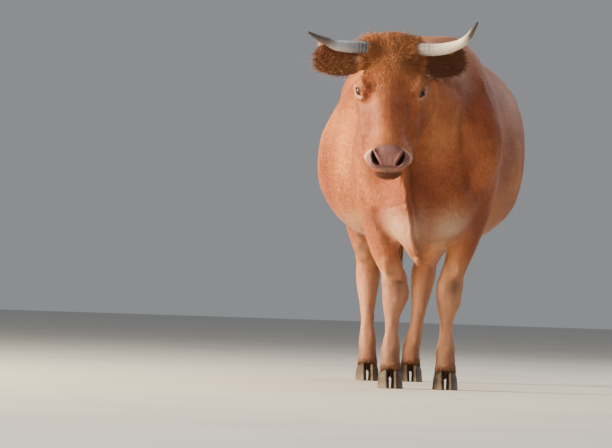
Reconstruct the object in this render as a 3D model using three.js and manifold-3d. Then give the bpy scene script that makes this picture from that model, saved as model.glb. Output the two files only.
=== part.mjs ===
// A standing beef cow with horns, life-size, as a still model.
// Millimetres, +Z up. The cow faces -Y and its left side is +X.
// Its flesh is one rounded field of muscle and bone forms, parted into named nodes by thin cuts.
import * as THREE from "three";
import { mergeVertices } from "three/addons/utils/BufferGeometryUtils.js";
import Module from "manifold-3d";

const wasm = await Module();
wasm.setup();

// ---- Driving sizes ----
const GAP = 0.4; // clear space kept between neighbouring solids
const WITHERS = 1372; // height of the shoulder blades' tops
const SPINE = 1330; // height of the back just behind them
const BARREL_HALF = 413; // half the belly's greatest width
const BELLY_LOW = 552; // height of the belly's lowest point
const BARREL_SHIFT = 26; // the belly hangs a little to the left
const BARREL_LEAN = 34; // and its upper flank is fuller on that side
const POLL = [-172, -352, 1298]; // top of the skull between the horns
const FACE_TILT = 58; // how far the face turns down from level, in degrees
const FACE_TURN = -3.8; // how far the head turns to its right, in degrees
const EYE = { side: 109, back: -183, up: -49, radius: 21 };
const NOSE_Y = -466; // nostrils, measured along the face from the poll
const HIND_BACK = 1300; // hind hooves behind the fore hooves

// ---- Fields: negative inside, positive outside, in millimetres ----
const mix = (a, b, t) => a + (b - a) * t;
const clamp = (v, low, high) => Math.min(high, Math.max(low, v));

// Joins two fields with a fillet of about the width k.
function join(a, b, k) {
  const h = Math.max(k - Math.abs(a - b), 0) / k;
  return Math.min(a, b) - (h * h * k) / 4;
}

// Takes field b out of field a with a rounded edge of about the width k.
const hollow = (a, b, k) => -join(-a, b, k);

// About how far a place is from an ellipsoid round the origin.
function oval(x, y, z, rx, ry, rz) {
  const ax = x / rx;
  const ay = y / ry;
  const az = z / rz;
  const near = Math.sqrt(ax * ax + ay * ay + az * az);
  const slope = Math.sqrt((ax / rx) ** 2 + (ay / ry) ** 2 + (az / rz) ** 2);
  return slope < 1e-9 ? -Math.min(rx, ry, rz) : (near * (near - 1)) / slope;
}

// Notes the ball that a field's form lies in, so that far places can pass it by.
const within = (centre, reach, field) => Object.assign(field, { centre, reach });

// An ellipsoid, turned by degrees about X, Y and Z.
function egg([cx, cy, cz], [rx, ry, rz], [tx, ty, tz] = [0, 0, 0]) {
  const turn = new THREE.Matrix4()
    .makeRotationFromEuler(new THREE.Euler(...[tx, ty, tz].map(THREE.MathUtils.degToRad)))
    .invert().elements;
  return within([cx, cy, cz], Math.max(rx, ry, rz), (x, y, z) => {
    const dx = x - cx;
    const dy = y - cy;
    const dz = z - cz;
    const px = turn[0] * dx + turn[4] * dy + turn[8] * dz;
    const py = turn[1] * dx + turn[5] * dy + turn[9] * dz;
    const pz = turn[2] * dx + turn[6] * dy + turn[10] * dz;
    return oval(px, py, pz, rx, ry, rz);
  });
}

// A limb through stations [x, y, z, half width, half depth], with smooth steps between them.
function limb(stations, steps = 3) {
  const line = new THREE.CatmullRomCurve3(stations.map(([x, y, z]) => new THREE.Vector3(x, y, z)));
  const thick = new THREE.CatmullRomCurve3(stations.map(([, , , w, d]) => new THREE.Vector3(w, d, 0)));
  const count = (stations.length - 1) * steps;
  const places = Array.from({ length: count + 1 }, (_, i) => line.getPoint(i / count));
  const sizes = Array.from({ length: count + 1 }, (_, i) => thick.getPoint(i / count));
  const ball = new THREE.Box3().setFromPoints(places).getBoundingSphere(new THREE.Sphere());
  const thickest = Math.max(...sizes.map((s) => Math.max(s.x, s.y)));
  return within(ball.center.toArray(), ball.radius + thickest, (x, y, z) => {
    let least = Infinity;
    for (let i = 0; i < count; i++) {
      const a = places[i];
      const b = places[i + 1];
      const ux = b.x - a.x;
      const uy = b.y - a.y;
      const uz = b.z - a.z;
      const along = (x - a.x) * ux + (y - a.y) * uy + (z - a.z) * uz;
      const t = clamp(along / (ux * ux + uy * uy + uz * uz), 0, 1);
      const w = mix(sizes[i].x, sizes[i + 1].x, t);
      const d = mix(sizes[i].y, sizes[i + 1].y, t);
      least = Math.min(least, oval(x - a.x - ux * t, y - a.y - uy * t, z - a.z - uz * t, w, d, d));
    }
    return least;
  });
}

// Fields joined in turn, each with its own fillet: [[field, fillet], ...]
function gather(parts) {
  const ball = new THREE.Sphere().makeEmpty();
  parts.filter(([field]) => field.centre).forEach(([field]) =>
    ball.union(new THREE.Sphere(new THREE.Vector3(...field.centre), field.reach)));
  return within(ball.center.toArray(), ball.radius, (x, y, z) => {
    let sum = Infinity;
    for (const [field, k] of parts) {
      if (sum < Infinity && field.centre) {
        const [cx, cy, cz] = field.centre;
        const away = Math.sqrt((x - cx) ** 2 + (y - cy) ** 2 + (z - cz) ** 2) - field.reach;
        if (away > sum + k + 20) continue;
      }
      const next = field(x, y, z);
      sum = sum === Infinity ? next : join(sum, next, k);
    }
    return sum;
  });
}

// Both sides of a form that is given for the left.
const pair = (make) => [make(1), make(-1)];

// ---- Trunk: rounded sections from chest to rump ----
// [y, half width, top, bottom, height of the widest part, shift to the left]
const SECTIONS = [
  [-190, 95, 1010, 690, 850, -6],
  [-110, 180, 1180, 590, 880, 4],
  [0, 226, SPINE - 30, 580, 900, 8],
  [130, 252, SPINE, 600, 905, 10],
  [280, 306, SPINE + 6, 592, 902, 16],
  [430, 368, SPINE - 2, 574, 900, 22],
  [620, BARREL_HALF, SPINE + 2, BELLY_LOW, 900, BARREL_SHIFT],
  [780, BARREL_HALF - 6, SPINE + 12, BELLY_LOW + 12, 905, BARREL_SHIFT],
  [930, 346, SPINE + 26, 600, 950, 16],
  [1080, 270, SPINE + 36, 655, 1020, 4],
  [1230, 232, SPINE + 36, 720, 1060, -4],
  [1350, 192, SPINE + 20, 800, 1090, -8],
  [1430, 118, SPINE - 34, 900, 1110, -8],
];
const TOP_POWER = 2.05; // how square the section is above its widest part, and below it
const LOW_POWER = 2.45;

function barrel() {
  const first = SECTIONS[0][0];
  const last = SECTIONS.at(-1)[0];
  const pick = (y) => {
    const at = SECTIONS.findIndex(([s]) => s >= y);
    const i = clamp(at === -1 ? SECTIONS.length - 1 : at, 1, SECTIONS.length - 1);
    const row = (j) => SECTIONS[clamp(j, 0, SECTIONS.length - 1)];
    const [p, a, b, n] = [row(i - 2), row(i - 1), row(i), row(i + 1)];
    const t = (y - a[0]) / (b[0] - a[0]);
    return a.map((_, c) => {
      const inSlope = ((b[c] - p[c]) / (b[0] - p[0])) * (b[0] - a[0]);
      const outSlope = ((n[c] - a[c]) / (n[0] - a[0])) * (b[0] - a[0]);
      const [t2, t3] = [t * t, t * t * t];
      return a[c] * (2 * t3 - 3 * t2 + 1) + b[c] * (3 * t2 - 2 * t3)
        + inSlope * (t3 - 2 * t2 + t) + outSlope * (t3 - t2);
    });
  };
  return (x, y, z) => {
    const [, half, top, low, mid, shift] = pick(clamp(y, first, last));
    const past = Math.max(first - y, y - last, 0);
    const up = z > mid;
    const tall = up ? top - mid : mid - low;
    const power = up ? TOP_POWER : LOW_POWER;
    const lean = (BARREL_LEAN * clamp(z - mid, 0, 300) * half) / (300 * BARREL_HALF);
    const across = Math.abs(x - shift - lean) / half;
    const rise = Math.abs(z - mid) / tall;
    const ring = Math.pow(Math.pow(across, power) + Math.pow(rise, power), 1 / power);
    const level = (ring - 1) * Math.min(half, tall);
    return past === 0 ? level : Math.hypot(Math.max(level, 0), past) + Math.min(level, 0) * 0.2;
  };
}

// ---- Limbs: where each leg stands, given for each side ----
// side: +1 left, -1 right. Sideways places of the joints follow the stance.
const FORE = {
  left: { side: 1, elbow: 192, arm: 149, knee: 101, cannon: 95, hoof: 96, ahead: -6 },
  right: { side: -1, elbow: 192, arm: 164, knee: 106, cannon: 117, hoof: 117, ahead: 22 },
};
const HIND = {
  left: { side: 1, stifle: 172, hock: 103, cannon: 82, hoof: 58, ahead: -28 },
  right: { side: -1, stifle: 182, hock: 129, cannon: 127, hoof: 123, ahead: 26 },
};

function foreLimb({ side, elbow, arm, knee, cannon, hoof, ahead }) {
  const at = (x, y, z, w, d) => [side * x, y - ahead, z, w, d];
  return limb([
    at(elbow + 8, 60, 800, 78, 125),
    at(elbow, 42, 700, 66, 108),
    at(mix(arm, elbow, 0.45), 30, 620, 60, 92),
    at(arm, 22, 555, 54, 80),
    at(mix(knee, arm, 0.42), 12, 480, 47, 62),
    at(mix(knee, arm, 0.08), 2, 412, 54, 58),
    at(knee, -6, 362, 57, 57),
    at(mix(cannon, knee, 0.3), -5, 312, 42, 46),
    at(cannon, 0, 262, 31.5, 36),
    at(cannon, 4, 205, 30.5, 35),
    at(mix(cannon, hoof, 0.6), 6, 148, 42, 45),
    at(hoof, -8, 106, 41, 41),
    at(hoof, -26, 66, 49, 52),
    at(hoof, -30, 44, 49, 52),
  ]);
}

function hindLimb({ side, stifle, hock, cannon, hoof, ahead }) {
  const at = (x, y, z, w, d) => [side * x, HIND_BACK + y - ahead, z, w, d];
  return limb([
    at(stifle, -200, 830, 92, 140),
    at(stifle - 6, -165, 730, 82, 126),
    at(mix(hock, stifle, 0.72), -95, 640, 68, 104),
    at(mix(hock, stifle, 0.38), -20, 560, 54, 78),
    at(mix(hock, stifle, 0.1), 38, 490, 50, 66),
    at(hock, 58, 432, 55, 64),
    at(mix(cannon, hock, 0.7), 50, 372, 46, 52),
    at(mix(cannon, hock, 0.3), 36, 300, 35, 41),
    at(cannon, 26, 232, 31, 37),
    at(mix(hoof, cannon, 0.25), 18, 152, 41, 45),
    at(hoof, -4, 108, 40, 41),
    at(hoof, -20, 66, 47, 50),
    at(hoof, -24, 44, 47, 50),
  ]);
}

// The point of the hock and the tendon above it.
function heelTendon({ side, stifle, hock, ahead }) {
  const at = (x, y, z, w, d) => [side * x, HIND_BACK + y - ahead, z, w, d];
  return limb([
    at(hock + 2, 112, 500, 24, 30),
    at(mix(hock, stifle, 0.3), 100, 590, 22, 34),
    at(mix(hock, stifle, 0.6), 72, 740, 40, 70),
  ]);
}

// The web of skin between the shin and that tendon.
const heelWeb = ({ side, stifle, hock, ahead }) =>
  egg([side * mix(hock, stifle, 0.45), HIND_BACK + 44 - ahead, 625], [22, 52, 76]);

// The muscles and bones that show under the skin of the shoulder and rump.
const shoulder = ({ side }) =>
  gather([
    [limb([
      [10 + side * 80, 128, WITHERS - 66, 34, 62],
      [8 + side * 142, 60, 1200, 62, 116],
      [4 + side * 200, -26, 1020, 78, 128],
      [side * 210, -96, 905, 78, 84],
    ]), 1],
    [egg([side * 206, 66, 862], [76, 150, 150], [24, 0, 0]), 60],
    [egg([side * 176, -112, 858], [72, 66, 92]), 60],
  ]);

const rump = ({ side }) =>
  gather([
    [egg([side * 200, 1040, 1296], [44, 66, 38], [0, side * 24, 0]), 1],
    [egg([side * 116, 1210, 1186], [134, 240, 152]), 70],
    [egg([side * 176, 1235, 960], [108, 196, 290], [-10, 0, 0]), 90],
    [egg([side * 124, 1368, 1030], [104, 96, 262], [5, 0, 0]), 70],
    [egg([side * 78, 1440, 1236], [44, 40, 44]), 50],
    [egg([side * 232, 1015, 830], [70, 92, 150], [-18, 0, 0]), 70],
  ]);

// ---- Neck and dewlap ----
const neck = limb([
  [14, 90, 1064, 214, 262],
  [-8, -40, 1070, 184, 246],
  [-58, -150, 1100, 148, 216],
  [-114, -236, 1140, 114, 174],
  [-152, -292, 1170, 94, 134],
]);
const crest = limb([
  [10, 120, 1268, 70, 56],
  [-20, -40, 1264, 62, 56],
  [-84, -180, 1258, 48, 50],
  [-152, -300, 1246, 50, 42],
]);
const dewlap = limb([
  [-152, -332, 972, 40, 58],
  [-126, -300, 870, 30, 78],
  [-106, -268, 768, 25, 92],
  [-82, -236, 665, 24, 98],
  [-62, -212, 580, 26, 84],
  [-50, -198, 536, 22, 58],
]);
const brisket = gather([
  [egg([0, -120, 706], [178, 118, 136]), 1],
  [egg([-34, -166, 640], [130, 84, 90], [-14, 0, 0]), 60],
]);
// Two small folds hang at the dewlap's lower end.
const FOLDS = [
  [[-45, -222, 530], [18, 21, 17]],
  [[-33, -217, 490], [22, 21, 25]],
];

// ---- Head, in its own frame: nose along -Y, forehead up +Z, the poll at the origin ----
const headFrame = new THREE.Matrix4()
  .makeTranslation(...POLL)
  .multiply(new THREE.Matrix4().makeRotationZ(THREE.MathUtils.degToRad(FACE_TURN)))
  .multiply(new THREE.Matrix4().makeRotationX(THREE.MathUtils.degToRad(FACE_TILT)));
const intoHead = headFrame.clone().invert().elements;

const skull = gather([
  [egg([0, -108, -86], [100, 132, 92]), 1], // forehead and braincase
  [limb([[-78, -4, -26, 44, 40], [0, -2, -8, 50, 42], [78, -4, -26, 44, 40]]), 40], // poll
  [limb([[0, -135, -72, 92, 66], [0, -225, -66, 80, 60], [0, -315, -72, 64, 56],
    [0, -400, -84, 60, 54]]), 40], // bridge of the nose
  ...pair((s) => [egg([s * 104, -172, -46], [38, 46, 34], [0, s * 20, 0]), 26]), // orbits
  ...pair((s) => [limb([[s * 96, -140, -112, 30, 44], [s * 86, -235, -112, 34, 40],
    [s * 70, -325, -112, 34, 40]]), 30]), // cheek bones
  ...pair((s) => [egg([s * 92, -142, -158], [38, 90, 84], [-16, 0, 0]), 34]), // chewing muscles
  ...pair((s) => [limb([[s * 84, -98, -214, 40, 40], [s * 70, -225, -206, 38, 38],
    [s * 50, -335, -188, 40, 38], [s * 30, -410, -178, 34, 32]]), 36]), // lower jaw
  [egg([0, -136, -188], [78, 120, 58]), 40], // throat
  ...pair((s) => [egg([s * 66, -300, -150], [42, 100, 46]), 34]), // lips and cheeks
  [egg([0, -434, -102], [93, 54, 66], [14, 0, 0]), 34], // muzzle
  ...pair((s) => [egg([s * 50, -456, -82], [36, 34, 34]), 20]), // nostril wings
  [egg([0, -448, -178], [58, 42, 32], [10, 0, 0]), 18], // chin
]);
const hornRoot = (s) => limb([[s * 80, -12, -34, 36, 36], [s * 128, -14, -26, 29, 29]]);
const hornRoots = gather(pair((s) => [hornRoot(s), 10]));
const nostril = (s) => egg([s * 50, NOSE_Y - 20, -84], [13, 24, 22], [0, s * 32, 0]);

const nostrils = pair(nostril);
const headMiddle = new THREE.Vector3(0, -240, -100).applyMatrix4(headFrame).toArray();

const head = within(headMiddle, 400, (x, y, z) => {
  const m = intoHead;
  const px = m[0] * x + m[4] * y + m[8] * z + m[12];
  const py = m[1] * x + m[5] * y + m[9] * z + m[13];
  const pz = m[2] * x + m[6] * y + m[10] * z + m[14];
  const form = join(skull(px, py, pz), hornRoots(px, py, pz), 24);
  return nostrils.reduce((rest, hole) => hollow(rest, hole(px, py, pz), 8), form);
});

// ---- The whole body as one field ----
const flesh = gather([
  [barrel(), 1],
  [neck, 90],
  [crest, 60],
  ...Object.values(FORE).map((leg) => [shoulder(leg), 50]),
  ...Object.values(HIND).map((leg) => [rump(leg), 80]),
  [brisket, 70],
  [dewlap, 60],
  ...FOLDS.map(([middle, size]) => [egg(middle, size), 14]),
  ...Object.values(FORE).map((leg) => [foreLimb(leg), 46]),
  ...Object.values(HIND).map((leg) => [hindLimb(leg), 60]),
  ...Object.values(HIND).map((leg) => [heelTendon(leg), 30]),
  ...Object.values(HIND).map((leg) => [heelWeb(leg), 24]),
  [head, 40],
]);

// ---- From field to closed surface: one vertex in each grid cell that the surface crosses ----
function netOf(field, low, high, cell, shift = 0) {
  const from = low.map((v, a) => v - cell[a] * shift);
  const n = low.map((_, a) => Math.ceil((high[a] - from[a]) / cell[a]) + 1);
  const stride = [1, n[0], n[0] * n[1]];
  const value = new Float32Array(n[0] * n[1] * n[2]);
  const place = (i, a) => from[a] + i * cell[a];
  for (let k = 0, at = 0; k < n[2]; k++)
    for (let j = 0; j < n[1]; j++)
      for (let i = 0; i < n[0]; i++, at++) {
        const edge = [i, j, k].some((c, a) => c === 0 || c === n[a] - 1);
        const v = field(place(i, 0), place(j, 1), place(k, 2));
        value[at] = edge ? Math.max(v, 0.1 * cell[0]) : v || 1e-6;
      }
  const vertexOf = new Int32Array(value.length).fill(-1);
  const points = [];
  const corners = [0, 1, 2, 3, 4, 5, 6, 7].map((c) => [c & 1, (c >> 1) & 1, (c >> 2) & 1]);
  const edges = corners.flatMap((c, i) => [1, 2, 4].filter((b) => !(i & b)).map((b) => [i, i | b]));
  const reach = (c) => c[0] * stride[0] + c[1] * stride[1] + c[2] * stride[2];
  for (let k = 0; k < n[2] - 1; k++)
    for (let j = 0; j < n[1] - 1; j++)
      for (let i = 0; i < n[0] - 1; i++) {
        const at = reach([i, j, k]);
        const sum = [0, 0, 0];
        let hits = 0;
        for (const [a, b] of edges) {
          const [va, vb] = [value[at + reach(corners[a])], value[at + reach(corners[b])]];
          if (va < 0 === vb < 0) continue;
          const t = va / (va - vb);
          for (let d = 0; d < 3; d++) sum[d] += mix(corners[a][d], corners[b][d], t);
          hits++;
        }
        if (!hits) continue;
        vertexOf[at] = points.length / 3;
        points.push(place(i + sum[0] / hits, 0), place(j + sum[1] / hits, 1), place(k + sum[2] / hits, 2));
      }
  settle(field, points, cell);
  const index = [];
  for (let a = 0; a < 3; a++) {
    const [b, c] = [(a + 1) % 3, (a + 2) % 3];
    const start = [0, 0, 0];
    start[b] = start[c] = 1;
    for (let k = start[2]; k < n[2] - 1; k++)
      for (let j = start[1]; j < n[1] - 1; j++)
        for (let i = start[0]; i < n[0] - 1; i++) {
          const at = reach([i, j, k]);
          const inside = value[at] < 0;
          if (inside === value[at + stride[a]] < 0) continue;
          const ring = [0, stride[b], stride[b] + stride[c], stride[c]];
          const quad = ring.map((step) => vertexOf[at - step]);
          if (!inside) quad.reverse();
          pushQuad(index, quad, points);
        }
  }
  return new THREE.BufferGeometry()
    .setAttribute("position", new THREE.Float32BufferAttribute(points, 3))
    .setIndex(index);
}

// Moves the vertices on to the surface, by at most part of a cell.
function settle(field, points, cell) {
  const most = Math.min(...cell) * 0.35;
  const h = 1.5;
  for (let i = 0; i < points.length; i += 3) {
    let moved = 0;
    for (let round = 0; round < 3; round++) {
      const [x, y, z] = points.slice(i, i + 3);
      const v = field(x, y, z);
      const g = [field(x + h, y, z) - v, field(x, y + h, z) - v, field(x, y, z + h) - v].map((d) => d / h);
      const slope = Math.hypot(...g) || 1;
      const step = clamp(-v / slope, -(most - moved), most - moved);
      moved += Math.abs(step);
      for (let d = 0; d < 3; d++) points[i + d] += (g[d] / slope) * step;
    }
  }
}

// Splits a quad along its shorter diagonal.
function pushQuad(index, [a, b, c, d], points) {
  const apart = (p, q) => Math.hypot(...[0, 1, 2].map((i) => points[p * 3 + i] - points[q * 3 + i]));
  if (apart(a, c) < apart(b, d)) index.push(a, b, c, a, c, d);
  else index.push(a, b, d, b, c, d);
}

// ---- Solids: closed meshes that can be cut and joined ----
function solidOf(geometry) {
  const bare = geometry.clone();
  bare.deleteAttribute("normal");
  bare.deleteAttribute("uv");
  const merged = mergeVertices(bare, 1e-4);
  return new wasm.Manifold(new wasm.Mesh({
    numProp: 3,
    vertProperties: merged.attributes.position.array,
    triVerts: new Uint32Array(merged.index.array),
  }));
}

function geometryOf(solid) {
  const mesh = solid.getMesh();
  return new THREE.BufferGeometry()
    .setAttribute("position", new THREE.Float32BufferAttribute(mesh.vertProperties, 3))
    .setIndex(Array.from(mesh.triVerts));
}

// The solid again with the very short edges that cuts leave taken out.
function neat(solid) {
  for (const weld of [0.02, 0.008, 0.05, 0.1]) {
    const merged = mergeVertices(geometryOf(solid), weld);
    const index = merged.index.array;
    const kept = [];
    for (let i = 0; i < index.length; i += 3) {
      const [a, b, c] = index.slice(i, i + 3);
      if (a !== b && b !== c && a !== c) kept.push(a, b, c);
    }
    try {
      const made = solidOf(merged.setIndex(kept));
      if (Math.abs(made.volume() / solid.volume() - 1) < 1e-3) return made;
    } catch {
      continue;
    }
  }
  return solid;
}

const largest = (solid) => solid.decompose().sort((a, b) => b.volume() - a.volume())[0];

// A solid whose surface is moved out by about the gap, so that what it cuts clears it.
function grown(solid, by = 2 * GAP) {
  const geometry = geometryOf(solid);
  geometry.computeVertexNormals();
  const place = geometry.attributes.position;
  const normal = geometry.attributes.normal;
  for (let i = 0; i < place.count; i++)
    place.setXYZ(i, ...["X", "Y", "Z"].map((a) => place[`get${a}`](i) + by * normal[`get${a}`](i)));
  return solidOf(geometry).add(solid);
}

// The same by another way that suits cut shapes: the solid and copies of it, moved a little each way.
function widened(solid, by = 1.5 * GAP) {
  const moves = [0, 1, 2].flatMap((a) => [by, -by].map((d) => [0, 1, 2].map((c) => (c === a ? d : 0))));
  return moves.reduce((sum, move) => sum.add(solid.translate(move)), solid);
}

// True where each edge of the mesh belongs to just two faces.
function isSimple(geometry) {
  const index = geometry.index.array;
  const uses = new Map();
  for (let i = 0; i < index.length; i++) {
    const j = i % 3 === 2 ? i - 2 : i + 1;
    const key = Math.min(index[i], index[j]) * 1e6 + Math.max(index[i], index[j]);
    uses.set(key, (uses.get(key) ?? 0) + 1);
  }
  return [...uses.values()].every((count) => count === 2);
}

// A field's solid inside a box of space, trimmed by its cuts.
// A few grid places are tried, as some pinch the surface so that two of its sheets touch.
function fieldSolid(field, low, high, cell, trim) {
  for (const shift of [0, 0.37, 0.61, 0.83, 0.19, 0.5]) {
    try {
      const solid = neat(largest(trim(solidOf(netOf(field, low, high, cell, shift)))));
      if (isSimple(mergeVertices(geometryOf(solid), 1e-4))) return solid;
    } catch {
      continue;
    }
  }
  throw new Error(`no grid place gives a simple surface from ${low} to ${high}`);
}

const FAR = 4000;
// All space on the side of a plane that its normal points to.
function beyond(point, normal) {
  const up = new THREE.Vector3(...normal).normalize();
  const box = new THREE.BoxGeometry(FAR, FAR, FAR).translate(0, 0, FAR / 2 + GAP / 2);
  const turn = new THREE.Quaternion().setFromUnitVectors(new THREE.Vector3(0, 0, 1), up);
  return solidOf(box.applyQuaternion(turn).translate(...point));
}
const opposite = (normal) => normal.map((v) => -v);
const block = (low, high) =>
  solidOf(new THREE.BoxGeometry(...high.map((v, a) => v - low[a]))
    .translate(...high.map((v, a) => (v + low[a]) / 2)));

const inHead = (solid) => solid.transform(Array.from(headFrame.elements));

// ---- Where the thin cuts run ----
const NECK_CUT = { point: [0, -70, 1100], normal: [-0.2, -0.925, 0.32] };
const HEAD_CUT = { point: [-160, -236, 1180], normal: [-0.08, -0.92, -0.38] };
const DEWLAP = [[-196, -460, 440], [24, -196, 905]]; // the box that holds the loose skin of the throat
const KNEE_CUT = 418;
const HOCK_CUT = 486;

const headSpace = beyond(HEAD_CUT.point, HEAD_CUT.normal)
  .intersect(inHead(block([-146, -620, -262], [146, 160, 160])));
const dewlapSpace = block(...DEWLAP).subtract(widened(headSpace));
const neckSide = beyond(NECK_CUT.point, NECK_CUT.normal);
const trunkSide = beyond(NECK_CUT.point, opposite(NECK_CUT.normal));

// The space that holds one leg, up to an oblique cut through the armpit or groin.
function foreSpace({ side }) {
  const inner = 30;
  return beyond([side * (inner + 72), 0, 606], [side * 0.66, 0, -0.75])
    .intersect(block([side > 0 ? inner : -450, -114, -10], [side > 0 ? 450 : -inner, 224, 900]));
}
function hindSpace({ side }) {
  const inner = side > 0 ? 4 : 28;
  return beyond([side * (inner + 66), 0, 668], [side * 0.56, 0, -0.83])
    .intersect(beyond([0, 975, 720], [0, 0.86, 0.5]).add(block([-450, 900, -10], [450, 1700, HOCK_CUT])))
    .intersect(block([side > 0 ? inner : -450, 900, -10], [side > 0 ? 450 : -inner, 1700, 960]));
}
const legSpaces = [...Object.values(FORE).map(foreSpace), ...Object.values(HIND).map(hindSpace)];

// ---- Hard and small parts ----
// A round bar of changing thickness through points, closed at both ends.
function taper(points, radiusAt, steps, sides) {
  const curve = new THREE.CatmullRomCurve3(points.map((p) => new THREE.Vector3(...p)));
  const frames = curve.computeFrenetFrames(steps, false);
  const position = [];
  const index = [];
  for (let i = 0; i <= steps; i++) {
    const centre = curve.getPointAt(i / steps);
    const r = radiusAt(i / steps);
    for (let j = 0; j < sides; j++) {
      const angle = (j / sides) * 2 * Math.PI;
      const p = centre.clone()
        .addScaledVector(frames.normals[i], Math.cos(angle) * r)
        .addScaledVector(frames.binormals[i], Math.sin(angle) * r);
      position.push(p.x, p.y, p.z);
    }
  }
  const ends = [curve.getPointAt(0), curve.getPointAt(1)];
  ends.forEach((p) => position.push(p.x, p.y, p.z));
  const [startCap, endCap] = [(steps + 1) * sides, (steps + 1) * sides + 1];
  for (let j = 0; j < sides; j++) {
    const next = (j + 1) % sides;
    for (let i = 0; i < steps; i++) {
      const [a, b] = [i * sides + j, i * sides + next];
      index.push(a, b, b + sides, a, b + sides, a + sides);
    }
    index.push(startCap, next, j);
    index.push(endCap, steps * sides + j, steps * sides + next);
  }
  const geometry = new THREE.BufferGeometry()
    .setAttribute("position", new THREE.Float32BufferAttribute(position, 3))
    .setIndex(index);
  return facingOut(geometry);
}

// A closed geometry as a solid, with its faces turned outwards if they weren't.
function facingOut(geometry) {
  const solid = solidOf(geometry);
  if (solid.volume() > 0) return solid;
  const turned = mergeVertices(geometry.clone(), 1e-4);
  return solidOf(turned.setIndex(Array.from(turned.index.array).reverse()));
}

// Horns run level out of the poll and turn up at the tips. The right tip stays lower than the left.
function horn(side) {
  const rise = side > 0 ? 1 : 0.34;
  const world = (out, ahead, up) => [POLL[0] + side * out, POLL[1] + ahead, POLL[2] + up];
  const line = [
    world(96, -30, -18),
    world(160, -38, -17),
    world(212, -50, mix(-16, -8, rise)),
    world(252, -68, 8 * rise),
    world(277, -84, 30 * rise),
    world(293, -96, 57 * rise),
    world(side > 0 ? 312 : 325, -104, 90 * rise),
  ];
  const point = (t) => Math.sqrt(Math.max(1 - Math.max(t - 0.42, 0) / 0.585, 0.012));
  const girth = (t) => mix(25, 21, clamp(t / 0.5, 0, 1)) * point(t);
  return taper(line, girth, 10, 10);
}

// The opening between the lids, cut back to the eyeball.
const socket = (side) =>
  inHead(solidOf(new THREE.SphereGeometry(1, 10, 6).scale(26, 27, 20)
    .rotateY(-side * 0.6).translate(side * (EYE.side + 24), EYE.back - 4, EYE.up + 14)));
const eyeball = (side) =>
  inHead(solidOf(new THREE.SphereGeometry(EYE.radius, 10, 7).translate(side * EYE.side, EYE.back, EYE.up)));

// An ear is a leaf of skin, cupped towards the front, on a rolled stalk.
const EAR = { length: 206, width: 68, depth: 30, thick: 7 };
function ear(side) {
  const g = new THREE.SphereGeometry(1, 10, 10).rotateZ(-Math.PI / 2);
  const p = g.attributes.position;
  for (let i = 0; i < p.count; i++) {
    const t = clamp((p.getX(i) + 1) / 2, 0, 1);
    const ring = Math.sqrt(Math.max(1 - p.getX(i) ** 2, 1e-6));
    const close = Math.min(1, 1.3 * ring ** 0.85);
    const outline = mix(30, EAR.width, Math.sin((Math.PI / 2) * clamp(t * 1.7, 0, 1)));
    const across = p.getZ(i) / ring;
    const face = p.getY(i) / ring;
    const wall = mix(18, EAR.thick, clamp(t * 2.4, 0, 1)) * Math.sqrt(Math.max(1 - across ** 2, 0.02));
    const cup = EAR.depth * across * across * Math.sin(Math.PI * (t * 0.9 + 0.05));
    p.setXYZ(i, t * EAR.length, face * wall * close - cup, across * outline * close + 14 * t * t);
  }
  const leaf = facingOut(g);
  const [sweep, roll, lift] = side > 0 ? [16, 8, -11] : [2, 4, -6];
  const place = new THREE.Matrix4()
    .makeTranslation(POLL[0] + side * 96, POLL[1] - 8, POLL[2] - 78)
    .scale(new THREE.Vector3(side, 1, 1))
    .multiply(new THREE.Matrix4().makeRotationFromEuler(
      new THREE.Euler(...[roll, lift, sweep].map(THREE.MathUtils.degToRad), "ZYX")));
  return leaf.transform(Array.from(place.elements));
}

// One claw of a cloven hoof: a half-moon sole, a sloping front wall, flat on the ground.
const CLAW = { length: 110, width: 50, toe: 80, heel: 46, lean: 44, apart: 17.5 };
// The slanting line round the top of the hoof, as a height over each place along it.
const coronet = (y) => mix(CLAW.toe, CLAW.heel, (y + CLAW.length * 0.25) / (CLAW.length * 0.62));

function claw(middle, front, out) {
  const rings = 2;
  const sides = 12;
  const position = [];
  const index = [];
  for (let r = 0; r <= rings; r++) {
    const t = r / rings;
    for (let s = 0; s < sides; s++) {
      const angle = (s / sides) * 2 * Math.PI;
      const ahead = Math.cos(angle); // +1 at the toe
      const across = Math.sin(angle); // +1 at the outer wall
      const half = across > 0 ? 0.66 : 0.3;
      const narrow = 1 - 0.45 * Math.max(ahead, 0) ** 2.4;
      const y = -(ahead > 0 ? ahead * 0.62 : ahead * 0.38) * CLAW.length;
      const back = t * CLAW.lean * clamp(0.35 + ahead * 0.65, 0.1, 1);
      const x = across * half * CLAW.width * narrow * mix(1, 0.86, t);
      position.push(x, y + back, t * coronet(y + CLAW.lean * clamp(0.35 + ahead * 0.65, 0.1, 1)));
    }
  }
  const low = position.length / 3;
  position.push(0, -6, 0, 0, 8, coronet(8));
  for (let s = 0; s < sides; s++) {
    const next = (s + 1) % sides;
    for (let r = 0; r < rings; r++) {
      const [a, b] = [r * sides + s, r * sides + next];
      index.push(a, b, b + sides, a, b + sides, a + sides);
    }
    index.push(low, next, s);
    index.push(low + 1, rings * sides + s, rings * sides + next);
  }
  const geometry = new THREE.BufferGeometry()
    .setAttribute("position", new THREE.Float32BufferAttribute(position, 3))
    .setIndex(index);
  if (out < 0) geometry.scale(-1, 1, 1);
  return facingOut(geometry.translate(middle + out * CLAW.apart, front, 0));
}

const dewclaw = (x, y, z, out) =>
  solidOf(new THREE.SphereGeometry(1, 6, 4).scale(12, 14, 21)
    .rotateX(0.35).translate(x + out * 20, y, z));

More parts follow.
